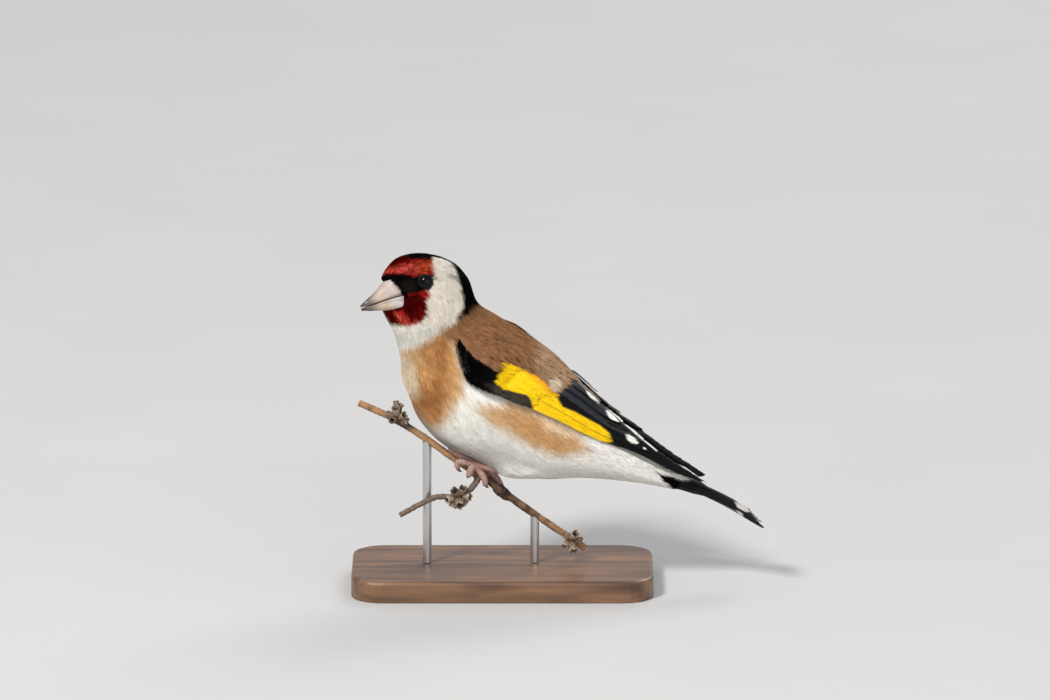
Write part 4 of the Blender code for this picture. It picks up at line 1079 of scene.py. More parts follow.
def body_coat(name, keys, seed, fan, material):
    """The coat between two keys."""
    rng = np.random.default_rng(seed + 1)
    key, angle = scatter(keys, seed)
    _, length, width, depth = np.moveaxis(smooth(COAT, key), -1, 0)
    length = length * rng.uniform(0.85, 1.15, len(key))
    # Shorter along the middle of the back.
    length = length * (1 - 0.42 * ease((1.5 - np.abs(angle)) / 0.6) * ease((key - 6.4) / 1.0))
    ahead, beside, normal = tangents(coat_point, key, angle, body_lie)
    tip_key = key + ahead[:, 0] * length * 0.75
    tip_angle = angle + ahead[:, 1] * length * 0.75
    x, y = photo_place(coat_point(tip_key, -np.abs(tip_angle), 0.0, 1.0))
    ragged_x = x + rng.normal(0, 2.6, len(x))
    ragged_y = y + rng.normal(0, 2.6, len(x))
    over = np.maximum(inside(SCAPULARS, x, y, 3.0), inside(BREAST_FRINGE, ragged_x, ragged_y, 2.0))
    keep = ~under_wing(key, angle, ahead, length, over)
    # The coat ends over the root of the tail, further back on top than below.
    end = 15.8 + 1.0 * ease((1.2 - np.abs(angle)) / 0.8) - 0.5 * ease((np.abs(angle) - 1.9) / 0.5)
    end_key = key + ahead[:, 0] * length
    keep &= end_key < end
    keep &= clear_face(key, body(key, angle), body(end_key, angle + ahead[:, 1] * length))
    key, angle, length, width, depth, over, ahead, beside, normal = chosen(
        keep, key, angle, length, width, depth, over, ahead, beside, normal)
    # On the back it lies lower over the wings' inner edges, most of all on the far side.
    over = ease(over * 1.6)
    low = np.where(angle > 0, 0.68, 0.12) * ease((key - 8.4) / 1.6)
    over = over * (1 - low * ease((1.75 - np.abs(angle)) / 0.6))
    x, y = photo_place(coat_point(key + ahead[:, 0] * length * 0.7,
                                  -np.abs(angle + ahead[:, 1] * length * 0.7), 0.0, over))
    colour = coat_colours(x, y, key, angle, rng)
    # Over the tail's root only the pale tufts stay.
    lit = (colour[:, 1] > 0.03) | (key < 14.9)
    key, angle, length, width, depth, over, ahead, beside, normal, colour = chosen(
        lit, key, angle, length, width, depth, over, ahead, beside, normal, colour)

    def raised(a, b, lift):
        return coat_point(a, b, lift, over[:, None, None])

    charts = np.stack([(angle + math.pi) / (2 * math.pi), key / LAST_KEY], axis=-1)
    tufts(name, raised, (key, angle, ahead, beside, normal),
          (length, width, depth * (1.1 - 0.8 * over), 0.02 + 0.36 * over), colour, charts,
          material, seed + 2, fan)


def eye_place(side):
    """Centre of an eye and the direction that it looks in; side is -1 on the left."""
    mirror = np.array([1.0, side, 1.0])
    centre = turn_head(np.array(EYE_CENTRE) * mirror)
    outward = turn_head((np.array(EYE_CENTRE) + np.array(EYE_OUTWARD)) * mirror)
    return centre, unit(outward - centre)


def make_skin(material):
    """One skin under the coat of head, neck, torso and thighs."""
    keys = np.linspace(0.0, SKIN_END, SKIN_ROWS)
    turns = np.linspace(-math.pi, math.pi, SKIN_SIDES + 1)[:-1]
    key, angle = np.meshgrid(keys, turns, indexing="ij")
    depth = smooth(COAT, key)[..., 3] + 1.6 * ease((key - 14.5) / 0.5) ** 2
    x, y = photo_place(coat_point(key, -np.abs(angle), 0.0, 1.0))
    tint = mix(marks(x, y) * 0.6, BLACK, midline(key, angle))
    made = tinted_loft(coat_point(key, angle, -depth), tint, (0.005, 0.995), (0.005, 0.99))
    points, faces, tint, chart = made
    weld(make_object("skin", points, faces, material,
                     ("head", "neck", "torso", "leg_left", "leg_right"), tint, chart))


# The wings.
def wing_width(along):
    """How wide the wing's curved sheet is at places along it."""
    low = smooth(WING_LOW, along)
    high = smooth(WING_HIGH, along)
    return QUARTER_ARC * np.hypot(high[..., 0] - low[..., 0], high[..., 1] - low[..., 1])


def sloped(origin, slope, along, out, up):
    """Points in a frame that slopes down from its origin towards the tail."""
    return np.stack([origin[0] + along * math.cos(slope) + up * math.sin(slope), out,
                     origin[1] - along * math.sin(slope) + up * math.cos(slope)], axis=-1)


def wing_sheet(along, across):
    """Points of the folded wing's sheet, on the right; across is in mm from its lower edge."""
    low = smooth(WING_LOW, along)
    high = smooth(WING_HIGH, along)
    length = wing_width(along)
    v = across / length
    held = np.clip(v, 0.0, 1.0) * math.pi / 2
    n = low[..., 0] + (high[..., 0] - low[..., 0]) * np.sin(held) + np.where(v < 0, across, 0)
    y = high[..., 1] + (low[..., 1] - high[..., 1]) * np.cos(held)
    y = y - np.where(v > 1, across - length, 0)
    return sloped(SHOULDER, WING_SLOPE, along, y, n)


def wing_point(side, along, across, lift):
    """Points raised from the wing's sheet, on one side of the bird."""
    along, across, lift = np.broadcast_arrays(np.asarray(along, float), across, lift)
    ahead = wing_sheet(along + 0.5, across) - wing_sheet(along - 0.5, across)
    over = wing_sheet(along, across + 0.5) - wing_sheet(along, across - 0.5)
    normal = unit(np.cross(ahead, over))
    normal = normal * np.where(normal[..., 1:2] < 0, -1.0, 1.0)
    points = wing_sheet(along, across) + normal * lift[..., None]
    return points * np.array([1.0, side, 1.0])


def vane_width(u, widths):
    """A vane's width from root to tip, as a part of its full width."""
    shoulder = widths[0][-1]
    end = np.clip((u - shoulder) / (1 - shoulder), 0, 1)
    return np.interp(u, *widths) * np.sqrt(np.clip(1 - end ** 2.3, 0, 1))


def vane(place, root, tip, webs, lifts, cut, rng):
    """One feather: its points, quads, places from root to tip and across, chart and barb grain."""
    rows = cut["rows"]
    tilt = cut["tilt"]
    u = 1 - (1 - np.linspace(0, 1, rows)) ** 1.5
    full = vane_width(u, cut["widths"])[:, None]
    v = VANE_COLUMNS[None, :]
    length = math.hypot(tip[0] - root[0], tip[1] - root[1])
    web = np.where(v < 0, webs[0], webs[1])
    fray = ripple(np.stack([u * length, u * 0, u * 0], -1), 1.4, int(rng.integers(1, 9999)))
    offset = v * web * full * (1 + 0.05 * fray[:, None] * np.abs(v) ** 3)
    u2 = np.broadcast_to(u[:, None], offset.shape)
    v2 = np.broadcast_to(v, offset.shape)
    slant = 0.25 * np.abs(offset) * (1 - ease((u2 - 0.7) / 0.3))
    along = root[0] + (tip[0] - root[0]) * u2 - slant * 0.3
    across = root[1] + (tip[1] - root[1]) * u2 + offset
    lift = lifts[0] + (lifts[1] - lifts[0]) * u2 - cut["droop"] * ease((u2 - 0.78) / 0.22)
    lift = lift + np.where(v2 < 0, -0.5 * tilt * v2, -tilt * v2) * full
    lift = lift + 0.07 * np.exp(-(offset / 0.10) ** 2) - 0.05 * v2 ** 2 * full
    thick = 0.10 + 0.14 * (1 - np.abs(v2)) * full
    points, faces = shell(place(along, across, lift), place(along, across, lift - thick))
    barb = np.stack([(u2 * length + np.abs(offset) * 1.1) * 8.0, offset * 0.0, offset * 0.0], -1)
    both = [np.concatenate([m.reshape(-1, *m.shape[2:])] * 2) for m in (u2, v2, barb)]
    cell = np.stack([u2, (v2 + 1) / 2], -1).reshape(-1, 2) * (0.98, 0.46)
    chart = np.concatenate([cell + (0.01, 0.02), cell + (0.01, 0.52)])
    return points, faces, both[0], both[1], chart, both[2]


def join_vanes(name, feathers, material, replaced):
    """One closed piece of many feathers."""
    points, faces, tint, chart, grain = joined(feathers)
    weld(make_object(name, points, faces, material, replaced, tint, chart, grain))


def tier_feathers(tier):
    """Root, tip and lifts of each feather of a tier."""
    tips = np.asarray(tier["tips"], float)
    share = np.linspace(0, 1, tier["count"])
    steps = np.linspace(0, 1, len(tips))
    first, last = np.asarray(tier["roots"], float)
    for s in share:
        tip = np.array([np.interp(s, steps, tips[:, 0]), np.interp(s, steps, tips[:, 1])])
        rise = tier["climb"] * s
        yield first + (last - first) * s, tip, (tier["lifts"][0], tier["lifts"][1] + rise)


def wing_tint(kind, points, u, v, rng):
    """Colours of a wing feather, by its kind and by where it shows from the side."""
    left = points * np.array([1.0, -1.0, 1.0]) if points[:, 1].mean() > 0 else points
    x, y = photo_place(left)
    dark = GREY if kind in FRONT_FEATHERS else WING_BLACK
    # Tertials take black with a painted bluish sheen.
    if kind == "tertials":
        dark = TERTIAL_BLACK_AND_SHEEN
    edge = ease((np.abs(v) - 0.78) / 0.2)
    tint = mix(dark, VANE_EDGE, edge * 0.8)
    gold = mix(YELLOW, ORANGE, inside(ORANGE_PART, x, y, 6.0))
    share = inside(YELLOW_BAR, x, y, 1.0)
    if kind == "tertials":
        share = share * 0.0
    elif kind in FLIGHT_FEATHERS:
        share = share * ease((0.75 - v) / 0.15)
    tint = mix(tint, gold, share)
    if kind in FLIGHT_FEATHERS:
        shown = np.where(points[:, 1] > 0, ease((points[:, 1] - 7.6) / 0.6), 1.0)
        shown = shown * ease((u - 0.5) / 0.1)
        for holder, outline in WHITE_SPOTS:
            if holder in (kind, "all"):
                tint = mix(tint, WHITE, inside(outline, x, y, 0.5) * shown)
        pale = mix(DIM_EDGE, WHITE, ease((x - 598.0) / 16.0))
        tint = mix(tint, pale, inside(PALE_EDGE, x, y, 0.6) * (points[:, 1] < 0))
    if kind in FRONT_FEATHERS:
        tint = mix(tint, COVERT_EDGE, edge * 0.4 * (1 - share))
    hidden = ease((inside(SCAPULARS, x, y, 3.0) - 0.6) / 0.3)
    tint = mix(tint, marks(x, y) * 0.7, hidden)
    # Tertials carry twice the streaks, painted sheen streaks over their black.
    depth = 0.32 if kind == "tertials" else 0.16
    streak = 1 + depth * ripple(np.stack([u * 9 + np.abs(v) * 3, v * 0.5, u * 0], -1), 0.5,
                                int(rng.integers(1, 9999)))
    shaft = 1 - 0.35 * np.exp(-(v / 0.05) ** 2)
    return np.clip(tint * (streak * shaft)[:, None], 0, 1)


def settled(side, along, across, lift, sink):
    """Points of a wing whose inner edge lies down on the back and under the scapulars."""
    x, y = photo_place(wing_point(-1, along, across, lift))
    under = inside(SCAPULARS, x - 1.5, y + 3, 4.0)
    inner = ease((across / wing_width(along) - 0.55) / 0.35) * ease((along - 24.0) / 10.0)
    narrow = (0.10 if side > 0 else 0.0) * ease((along - 22.0) / 12.0)
    narrow = narrow + (0.03 if side > 0 else 0.12) * ease((along - 52.0) / 14.0)
    low = 1.3 if side > 0 else 0.5
    return wing_point(side, along, across * (1 - narrow), lift - sink * under - low * inner)


def untextured(points, faces, tint, chart):
    """A feather's root or core: a body without barb grain."""
    return points, faces, tint, chart, np.zeros((len(points), 3))


def wing_core(side):
    """The wing's smooth body under its feathers."""
    rows = 40
    columns = 13
    start = WING_LOW[0][0]
    r = np.arange(rows + 1)[:, None]
    c = np.arange(columns)[None, :]
    along = start + (WING_CORE_END - start) * r / rows + 0.0 * c
    width = wing_width(along)
    front = np.minimum(1.0, (r / rows * 15 + 0.4) / 3.0)
    full = front ** 0.5
    thin = 1.0 - 0.85 * ease((along - 24.0) / 26.0)
    low = 0.5 + 0.5 * width * (1 - full)
    high = 0.5 * width * (1 + full) * (1 - 0.55 * ease((along - 38.0) / 16.0))
    across = low + (high - low) * c / (columns - 1)
    rim = np.sin(math.pi * c / (columns - 1)) ** 0.5 * front
    lift = -0.4 - 0.5 * (1 - rim)
    depth = 0.45 + (0.2 + 1.8 * rim) * thin
    points, faces = shell(settled(side, along, across, lift, CORE_SINK),
                          settled(side, along, across, lift - depth, CORE_SINK))
    cell = np.stack([along / 60.0, across / 20.0], -1).reshape(-1, 2) * 0.9 + 0.02
    x, y = seen_from_left(points)
    tint = mix(WING_CORE_BLACK, marks(x, y) * 0.7, ease(inside(SCAPULARS, x, y, 3.0) * 2 - 1))
    return untextured(points, faces, tint, np.concatenate([cell, cell]))


def make_wing(side, word, material, coat):
    """One folded wing: its core, its tiers of feathers and the small feathers in front."""
    rng = np.random.default_rng(70 if side < 0 else 71)
    feathers = [wing_core(side)]

    def place(along, across, lift):
        return settled(side, along, across, lift, FEATHER_SINK)

    for kind, tier in WING_TIERS.items():
        for root, tip, lifts in tier_feathers(tier):
            reach = 0.0 if tier["cut"] == "long" else rng.uniform(-0.9, 0.6)
            points, faces, u, v, chart, grain = vane(place, root, tip + (reach, 0.0), tier["webs"],
                                                     lifts, VANE_CUTS[tier["cut"]], rng)
            feathers.append((points, faces, wing_tint(kind, points, u, v, rng), chart, grain))
    join_vanes(f"wing_{word}_feathers", feathers, material, (f"wing_{word}",))
    small_coverts(side, word, coat)
    wing_fringe(side, word, coat)


def wing_roots(side, along, across, lift, gap, lie):
    """Places for tufts on a wing, kept a gap apart, with their steps and normals."""
    points = wing_point(side, along, across, lift)
    along, across = spread_out(points, gap, along, across)
    return (along, across, *tangents(functools.partial(wing_point, side), along, across, lie))


def small_coverts(side, word, material):
    """Small black feathers over the front of a wing, down to its lower edge."""
    rng = np.random.default_rng(80 + side)
    along = rng.uniform(-1.6, 15.0, COVERT_DRAWS)
    across = rng.uniform(0.0, 16.0, COVERT_DRAWS)
    along, across = chosen((across < wing_width(along) - 0.3) & (across > 0.25), along, across)

    def lie(a, b, ahead, beside):
        return ahead - beside * 0.12

    roots = wing_roots(side, along, across, 0.0, COVERT_GAP, lie)
    along, across, ahead = roots[:3]
    tip_along = along + ahead[:, 0] * 2.4
    x, y = photo_place(wing_point(-1, tip_along, across, 0.0))
    roots = chosen((inside(SCAPULARS, x, y, 1.0) < 0.3) & (tip_along < 16.5), *roots)
    along, across, ahead = roots[:3]
    n = len(along)
    length = rng.uniform(2.2, 3.0, n) * (0.7 + 0.3 * ease(along / 5.0))
    base = 0.0015 + 0.003 * ease((along - 6) / 6)
    colour = np.stack([base, base * 0.96, base * 0.98], -1) * rng.normal(1, 0.25, (n, 1))
    x, y = photo_place(wing_point(-1, along + ahead[:, 0] * 1.3, across, 0.0))
    colour = mix(colour, YELLOW, inside(YELLOW_BAR, x, y, 0.6))
    lift = 0.28 + 0.35 * ease((along - 3.0) / 9.0)
    tufts(f"wing_{word}_small_coverts", functools.partial(wing_point, side), roots,
          (length, 0.13, 0.5, lift), np.clip(colour, 0, 1),
          np.stack([along / 20.0, across / 20.0], -1), material, 90 + side,
          COVERT_FAN)


def wing_fringe(side, word, material):
    """Loose pale hairs of the breast that lie over the front of a wing."""
    rng = np.random.default_rng(110 + side)
    along = rng.uniform(-5.0, 8.0, FRINGE_DRAWS)
    across = rng.uniform(-2.0, 16.0, FRINGE_DRAWS)
    x, y = photo_place(wing_point(-1, along, across, 0.3))
    along, across = chosen(inside(FRINGE_ROOTS, x, y, 0.1) > 0.5, along, across)

    def lie(a, b, ahead, beside):
        return ahead + beside * (0.35 * np.sin(9.0 * a + 5.0 * b))[:, None]

    roots = wing_roots(side, along, across, 0.3, FRINGE_GAP, lie)
    along, across = roots[:2]
    _, y = photo_place(wing_point(-1, along, across, 0.3))
    n = len(along)
    colour = mix(BUFF, FRINGE_SAND, ease((y - 342.0) / 8.0)) * rng.normal(1, 0.15, (n, 1))
    tufts(f"wing_{word}_fringe", functools.partial(wing_point, side), roots,
          (rng.uniform(1.0, 2.2, n), 0.10, 0.3, 0.25),
          np.clip(colour, 0, 1), np.stack([(along + 6) / 20.0, (across + 3) / 20.0], -1),
          material, 120 + side, FRINGE_FAN)


# The tail.
def tail_point(along, out, up):
    """Points in the tail's own frame."""
    arch = TAIL_CAMBER * np.sin(math.pi * np.clip(along / TAIL_LENGTH, 0.0, 1.0))
    up = up + arch - TAIL_ROOF * out * out
    up, out = (up * math.cos(TAIL_ROLL) - out * math.sin(TAIL_ROLL),
               out * math.cos(TAIL_ROLL) + up * math.sin(TAIL_ROLL))
    return sloped(TAIL_ROOT, TAIL_SLOPE, along, out, up)


def tail_core():
    """The dark root of the tail, where the body runs out under the tail's feathers."""
    key = np.linspace(TAIL_CORE_START, LAST_KEY, 40)[:, None]
    turn = np.linspace(-math.pi, math.pi, 33)[None, :-1]
    depth = np.interp(key, (TAIL_CORE_START, 14.7, 15.4, 16.2, LAST_KEY), (2.0, 0.45, 0.25, 0.3, 1.3))
    rings = body(key, turn, -depth)
    x, y = seen_from_left(rings)
    return untextured(*tinted_loft(rings, marks(x, y) * 0.7 + 0.004))


def make_tail(material):
    """The tail: six pairs of feathers, the middle pair on top and the outermost the longest."""
    rng = np.random.default_rng(60)
    feathers = [tail_core()]
    for side, k in itertools.product((-1, 1), range(RECTRICES)):
        share = k / (RECTRICES - 1)
        tip = TAIL_LENGTH - TAIL_NOTCH * (1 - share ** 1.6)
        outs = (0.5 + 2.2 * share, 1.2 + 3.9 * share)
        ups = (1.35 - 1.85 * share, 1.0 - 1.3 * share + 0.03 * side)

        def place(along, across, lift, side=side):
            return tail_point(along, side * across, lift)

        points, faces, u, v, chart, grain = vane(place, (TAIL_FEATHER_ROOT, outs[0] - 0.3),
                                                 (tip, outs[1]), TAIL_WEBS, ups,
                                                 VANE_CUTS["tail"], rng)
        x, y = photo_place(points * np.array([1.0, -side, 1.0]))
        tint = np.broadcast_to(np.array(TAIL_BLACK), (len(u), 3))
        for outline in TAIL_SPOTS:
            tint = mix(tint, WHITE, inside(outline, x, y, 0.8))
        tint = mix(tint, TAIL_PALE, inside(TAIL_LINE, x, y, 0.8) * 0.4)
        tint = mix(tint, TAIL_EDGE, ease((np.abs(v) - 0.86) / 0.12) * 0.5)
        feathers.append((points, faces, tint, chart, grain))
    join_vanes("tail_feathers_fan", feathers, material, ("tail",))


# The bill.
def bill_point(along, up, out):
    """Points in the bill's own frame, on the turned head."""
    x = GAPE[0] - along * math.cos(BILL_SLOPE) - up * math.sin(BILL_SLOPE)
    z = GAPE[1] - along * math.sin(BILL_SLOPE) + up * math.cos(BILL_SLOPE)
    return turn_head(np.stack([x, out, z], axis=-1))


def bill_surface(along, turn, upper, over=0.0):
    """Points of one half of the bill, raised by a little; the turn runs round from the right."""
    last = BILL_ROWS[-1][0]
    ridge, keel, width = np.moveaxis(smooth(BILL_ROWS, along), -1, 0)
    gap = BILL_OPENING[0] + (BILL_OPENING[1] - BILL_OPENING[0]) * np.maximum(along, 0) / last
    bow = 0.12 * np.sin(math.pi * np.clip(along / 6.5, 0, 1))
    height = (ridge - gap) if upper else (keel + gap)
    square = 1.02 + 0.0 * along
    if upper:
        width = width * (1 - 0.10 * ease((2.5 - along) / 3.0))
    else:
        square = 0.8 - 0.42 * ease((2.5 - along) / 3.2)
    way = 1.0 if upper else -1.0
    rise = way * gap + bow + (height - bow) * np.sin(turn) ** square
    out = width * np.sign(np.cos(turn)) * np.abs(np.cos(turn)) ** (0.5 + 0.5 * square)
    groove = 0.02 * np.sin(along * 3.0 + np.cos(turn) * 5.0) + over
    return bill_point(along + 0.0 * turn, rise + way * groove * np.sin(turn),
                      out + over * np.cos(turn))


def make_bill(word, upper, material):
    """One half of the bill."""
    turn = np.linspace(0, math.pi, 49)[None, :]
    along = np.linspace(BILL_ROWS[0][0], BILL_ROWS[-1][0], 72)[:, None] + 0.0 * turn
    rings = bill_surface(along, turn, upper)
    flank = np.abs(np.sin(turn)) + 0.0 * along
    fade = ease((along - 1.0) / 8.0)
    warm = ease((along - 2.0) / 3.0) * ease((9.5 - along) / 3.0)
    line = ease((0.22 - flank) / 0.2)
    tint = np.broadcast_to(np.array(UPPER_HORN if upper else UNDER_HORN), (*along.shape, 3))
    shades = (
        (HORN_FLANK, (0.35 * flank ** 3 + 0.25 * fade) if upper else 0.15 * flank ** 3),
        (HORN_WARM, warm * (0.15 if upper else 0.6)),
        (HORN_DUSK, ease((along - 5.6) / 3.4) * 0.85),
        (HORN_TIP, ease((along - 8.6) / 2.4) * 0.8),
        # Painted shade along the slit between the halves, and round the root.
        (HORN_SLIT_SHADE, line * (0.75 if upper else 0.45)),
        (HORN_ROOT_SHADE, ease((1.2 - along) / 1.6) * 0.55),
    )
    for colour, share in shades:
        tint = mix(tint, colour, share)
    tint = tint * (1 + 0.06 * ripple(rings, 1.6, 12))[..., None]
    points, faces, tint, chart = tinted_loft(rings, tint)
    weld(make_object(f"bill_{word}_horn", points, faces, material,
                     (f"bill_{word}",), tint, chart))


def make_bristles(material):
    """The short black feathers that lie forward over the root of the bill's upper half."""
    rng = np.random.default_rng(130)
    turn = rng.uniform(0.04, math.pi - 0.04, BRISTLE_DRAWS)
    along = rng.uniform(-2.6, 2.6, BRISTLE_DRAWS)
    reach = np.interp(np.sin(turn), *BRISTLE_REACH)
    turn, along, reach = chosen((along < reach - 0.8) & (along > reach - 2.6), turn, along, reach)

    def surface(a, b, lift):
        return bill_surface(a, np.clip(b, 0.02, math.pi - 0.02), True, lift)

    def lie(a, b, ahead, beside):
        return ahead

    points = surface(along, turn, 0.0)
    along, turn, reach = spread_out(points, BRISTLE_GAP, along, turn, reach)
    roots = (along, turn, *tangents(surface, along, turn, lie))
    n = len(along)
    length = np.clip(reach - along + rng.normal(0, 0.22, n), 0.6, 3.0)
    colour = np.asarray(BLACK) * rng.uniform(0.6, 1.8, (n, 1))
    charts = np.stack([(along + 3) / 8.0, turn / math.pi], -1)
    tufts("bill_bristles", surface, roots, (length, 0.12, 0.02, 0.22), colour, charts, material,
          131, BRISTLE_FAN)


def eye_axes(side):
    """An eye's centre, the direction that it looks in, and two directions across that."""
    centre, outward = eye_place(side)
    across = unit(np.cross(outward, (0.0, 0.0, 1.0)))
    return centre, outward, across, np.cross(across, outward)


def make_eyeball(side, word, material):
    """One dark, slightly flattened eyeball."""
    centre, outward, across, upward = eye_axes(side)
    polar = np.linspace(0.0, math.pi, 41)[1:-1, None]
    turn = full_turn(EYE_SIDES)[None, :]
    middle = centre + outward * EYE_RADIUS * (1 - EYE_FLATNESS)
    rings = (middle + EYE_RADIUS * (EYE_FLATNESS * np.cos(polar)[..., None] * outward
                                    + np.sin(polar)[..., None] * spokes(turn, across, upward)))
    iris = np.where(polar < 0.42, 0.0, 1.0) + 0.0 * turn
    points, faces, tint, _ = tinted_loft(rings, mix(PUPIL, IRIS, iris))
    points[:EYE_SIDES] = middle + EYE_RADIUS * EYE_FLATNESS * outward
    points[-EYE_SIDES:] = middle - EYE_RADIUS * EYE_FLATNESS * outward
    weld(make_object(f"eye_{word}_ball", points, faces, material, (f"eye_{word}",),
                     tint, np.full((len(points), 2), 0.5)))


def make_lid(side, word, material):
    """The ring of bare, finely beaded lid round an eye."""
    centre, outward, across, upward = eye_axes(side)
    around = full_turn(LID_STEPS)[:, None]
    roll = full_turn(LID_SIDES)[None, :]
    bead = 1 + 0.10 * np.sin(around * 26) * np.sin(roll) + 0.05 * np.sin(around * 11 + 1)
    thick = LID_THICKNESS * bead
    points = (centre + outward * (LID_DEPTH + thick * np.sin(roll))[..., None]
              + spokes(around, across, upward) * (LID_RADIUS + thick * np.cos(roll))[..., None])
    count = LID_STEPS * LID_SIDES
    faces = grid_faces(LID_STEPS + 1, LID_SIDES, wrap=True) % count
    # The lower half is lighter, a painted highlight where the lower lid faces the light.
    low = ease(0.5 - 0.6 * np.sin(around) + 0.0 * roll)
    weld(make_object(f"eye_{word}_lid", points.reshape(-1, 3), faces, material,
                     ("head",), mix(LID_DARK, LID_LIT_GREY, low).reshape(-1, 3),
                     np.full((count, 2), 0.5)))


# Feet and twig.
def tube_rings(points, radii, sides):
    """Rings of a round body along a path."""
    points = np.asarray(points, float)
    ahead = unit(np.gradient(points, axis=0))
    side = np.cross(ahead[0], (0.0, 0.0, 1.0) if abs(ahead[0][2]) < 0.9 else (1.0, 0.0, 0.0))
    turn = full_turn(sides)
    rings = []
    for point, radius, way in zip(points, radii, ahead):
        side = unit(side - way * np.dot(side, way))
        rings.append(point + radius * spokes(turn, side, np.cross(way, side)))
    return np.array(rings)


def twig_frame(x):
    """Places on the twig: the centre, and the way out of its top."""
    here = smooth(TWIG_PATH, x)
    rise = smooth(TWIG_PATH, np.asarray(x) - 0.5) - smooth(TWIG_PATH, np.asarray(x) + 0.5)
    ahead = unit(np.stack([-np.ones(np.shape(x)), rise[..., 0], rise[..., 1]], -1))
    top = unit(np.cross(ahead, (0.0, 1.0, 0.0)))
    top = top * np.where(top[..., 2:3] < 0, -1.0, 1.0)
    return np.stack([x + 0.0 * here[..., 0], here[..., 0], here[..., 1]], -1), top


def grip_point(side, origin, along, angle, reach):
    """A point beside the twig: along it from the origin, round it, and out from its centre."""
    centre, top = twig_frame(np.asarray(origin - np.asarray(along) * TWIG_RUN, float))
    turn = np.radians(angle)[..., None] if np.ndim(angle) else math.radians(angle)
    reach = np.asarray(reach)[..., None] if np.ndim(reach) else reach
    return centre + reach * (np.cos(turn) * top + np.sin(turn) * np.array([0.0, side, 0.0]))


def scute_relief(points, scute):
    """Relief of the scutes along a toe or shank: 0 in a crease, 1 on a scute."""
    run = np.concatenate([[0], np.cumsum(np.linalg.norm(np.diff(points, axis=0), axis=1))])
    return np.abs(np.sin(run / scute * math.pi)) ** 0.5


def roughened(points, rings, rough):
    """Rings with their reach from their middle points scaled."""
    middle = np.asarray(points)[:, None, :]
    return middle + (rings - middle) * rough[..., None]


def scaled_tube(points, radii, sides, scute, seed):
    """Rings of a toe or shank with the low ridges of its scutes."""
    rings = tube_rings(points, radii * (0.90 + 0.13 * scute_relief(points, scute)), sides)
    return roughened(points, rings, 1 + 0.03 * ripple(rings, 0.8, seed))


def creases(points, rings, scute):
    """How dark a toe is at its rings: painted shade in the creases between scutes, with a little
    random tone.
    """
    relief = scute_relief(points, scute)[:, None]
    return np.clip(0.55 + 0.5 * relief + 0.10 * ripple(rings, 0.7, 6), 0.3, 1.2)[..., None]


def toe_part(side, toe, seed):
    """Rings and tint of one toe with its claw."""
    rows = [(k, *row, radius) for k, (row, radius) in enumerate(zip(toe, TOE_RADII))]
    key = np.linspace(0, len(rows) - 1, 120)
    along, angle, reach, radius = np.moveaxis(smooth(rows, key), -1, 0)
    points = grip_point(side, GRIP_ORIGIN[side], along, angle, reach)
    share = key / (len(rows) - 1)
    radius = np.maximum(radius, 0.08)
    rings = scaled_tube(points, radius, TOE_SIDES, TOE_SCUTE, seed)
    is_claw = ease((share - CLAW_FROM + 0.02) / 0.04)[:, None, None]
    rings = rings * (1 - is_claw) + tube_rings(points, radius, TOE_SIDES) * is_claw
    tint = mix(TOE_PINK, CLAW_BROWN, ease((share - CLAW_FROM + 0.02) / 0.05))
    tint = tint * (1 + 0.12 * ripple(points, 2.0, 7))[:, None]
    # Painted shade in the creases between scutes.
    return rings, np.repeat(tint[:, None, :], TOE_SIDES, axis=1) * creases(points, rings, TOE_SCUTE)


def make_foot(side, word, material):
    """One foot's ankle and toes with their claws, and the bare shank above it."""
    skin = np.array(TOE_PINK)
    parts = [toe_part(side, toe, 10 * n + side + 20) for n, toe in enumerate(TOES)]
    ankle = grip_point(side, GRIP_ORIGIN[side], *ANKLE)
    polar = np.linspace(0, math.pi, 20)[1:-1]
    rings = tube_rings([ankle + np.array([math.cos(p) * 1.1, 0, 0]) for p in polar],
                       [ANKLE_RADIUS * math.sin(p) for p in polar], TOE_SIDES)
    parts.append((rings, np.broadcast_to(skin, (*rings.shape[:2], 3))))
    loft_parts(f"foot_{word}_toes", parts, material, (f"foot_{word}",))
    share = np.linspace(-0.08, 0.76, 80)[:, None]
    points = ankle + (np.array(HEEL[side]) - ankle) * share
    radii = np.interp(share[:, 0], (-0.08, 0.0, 0.34, 0.7, 1.0),
                      np.array((0.75, 1.0, 0.86, 0.95, 1.3)) * TARSUS_RADIUS)
    rings = scaled_tube(points, radii, SHANK_SIDES, SHANK_SCUTE, 5)
    # Painted shade in the shank's creases.
    tint = skin * np.array((1.1, 1.0, 0.9)) * creases(points, rings, SHANK_SCUTE)
    loft_parts(f"shank_{word}", [(rings, tint)], material, (f"leg_{word}",))


def loft_parts(name, parts, material, replaced):
    """One closed piece of several round bodies."""
    lofts = [tinted_loft(rings, tint, over=(0.02, 0.98)) for rings, tint in parts]
    points, faces, tint, chart = joined(lofts)
    weld(make_object(name, points, faces, material, replaced, tint, chart))


def bark_tint(points, x):
    """Bark colours along the twig: tan at both ends, dark at the left knot, and a painted shadow of
    the bird from under the foot to past the knot.
    """
    share = np.interp(x, *BARK_AND_SHADOW_BANDS)
    share = np.clip(share[:, None] + 0.25 * ripple(points, 2.5, 3), 0, 1)
    return mix(BARK_TAN, BARK_DARK_AND_SHADOW, share) * (1 + 0.18 * ripple(points, 0.7, 4))[..., None]


def rough_tube(points, radii, sides, seed, depth):
    """Rings of a woody stem with fine lengthwise wrinkles and low bumps."""
    rings = tube_rings(points, radii, sides)
    wrinkle = np.sin(full_turn(sides) * 9 + 2.0 * ripple(rings, 5.0, seed)) * 0.25
    return roughened(points, rings, 1 + depth * (ripple(rings, 1.6, seed + 1) + wrinkle))


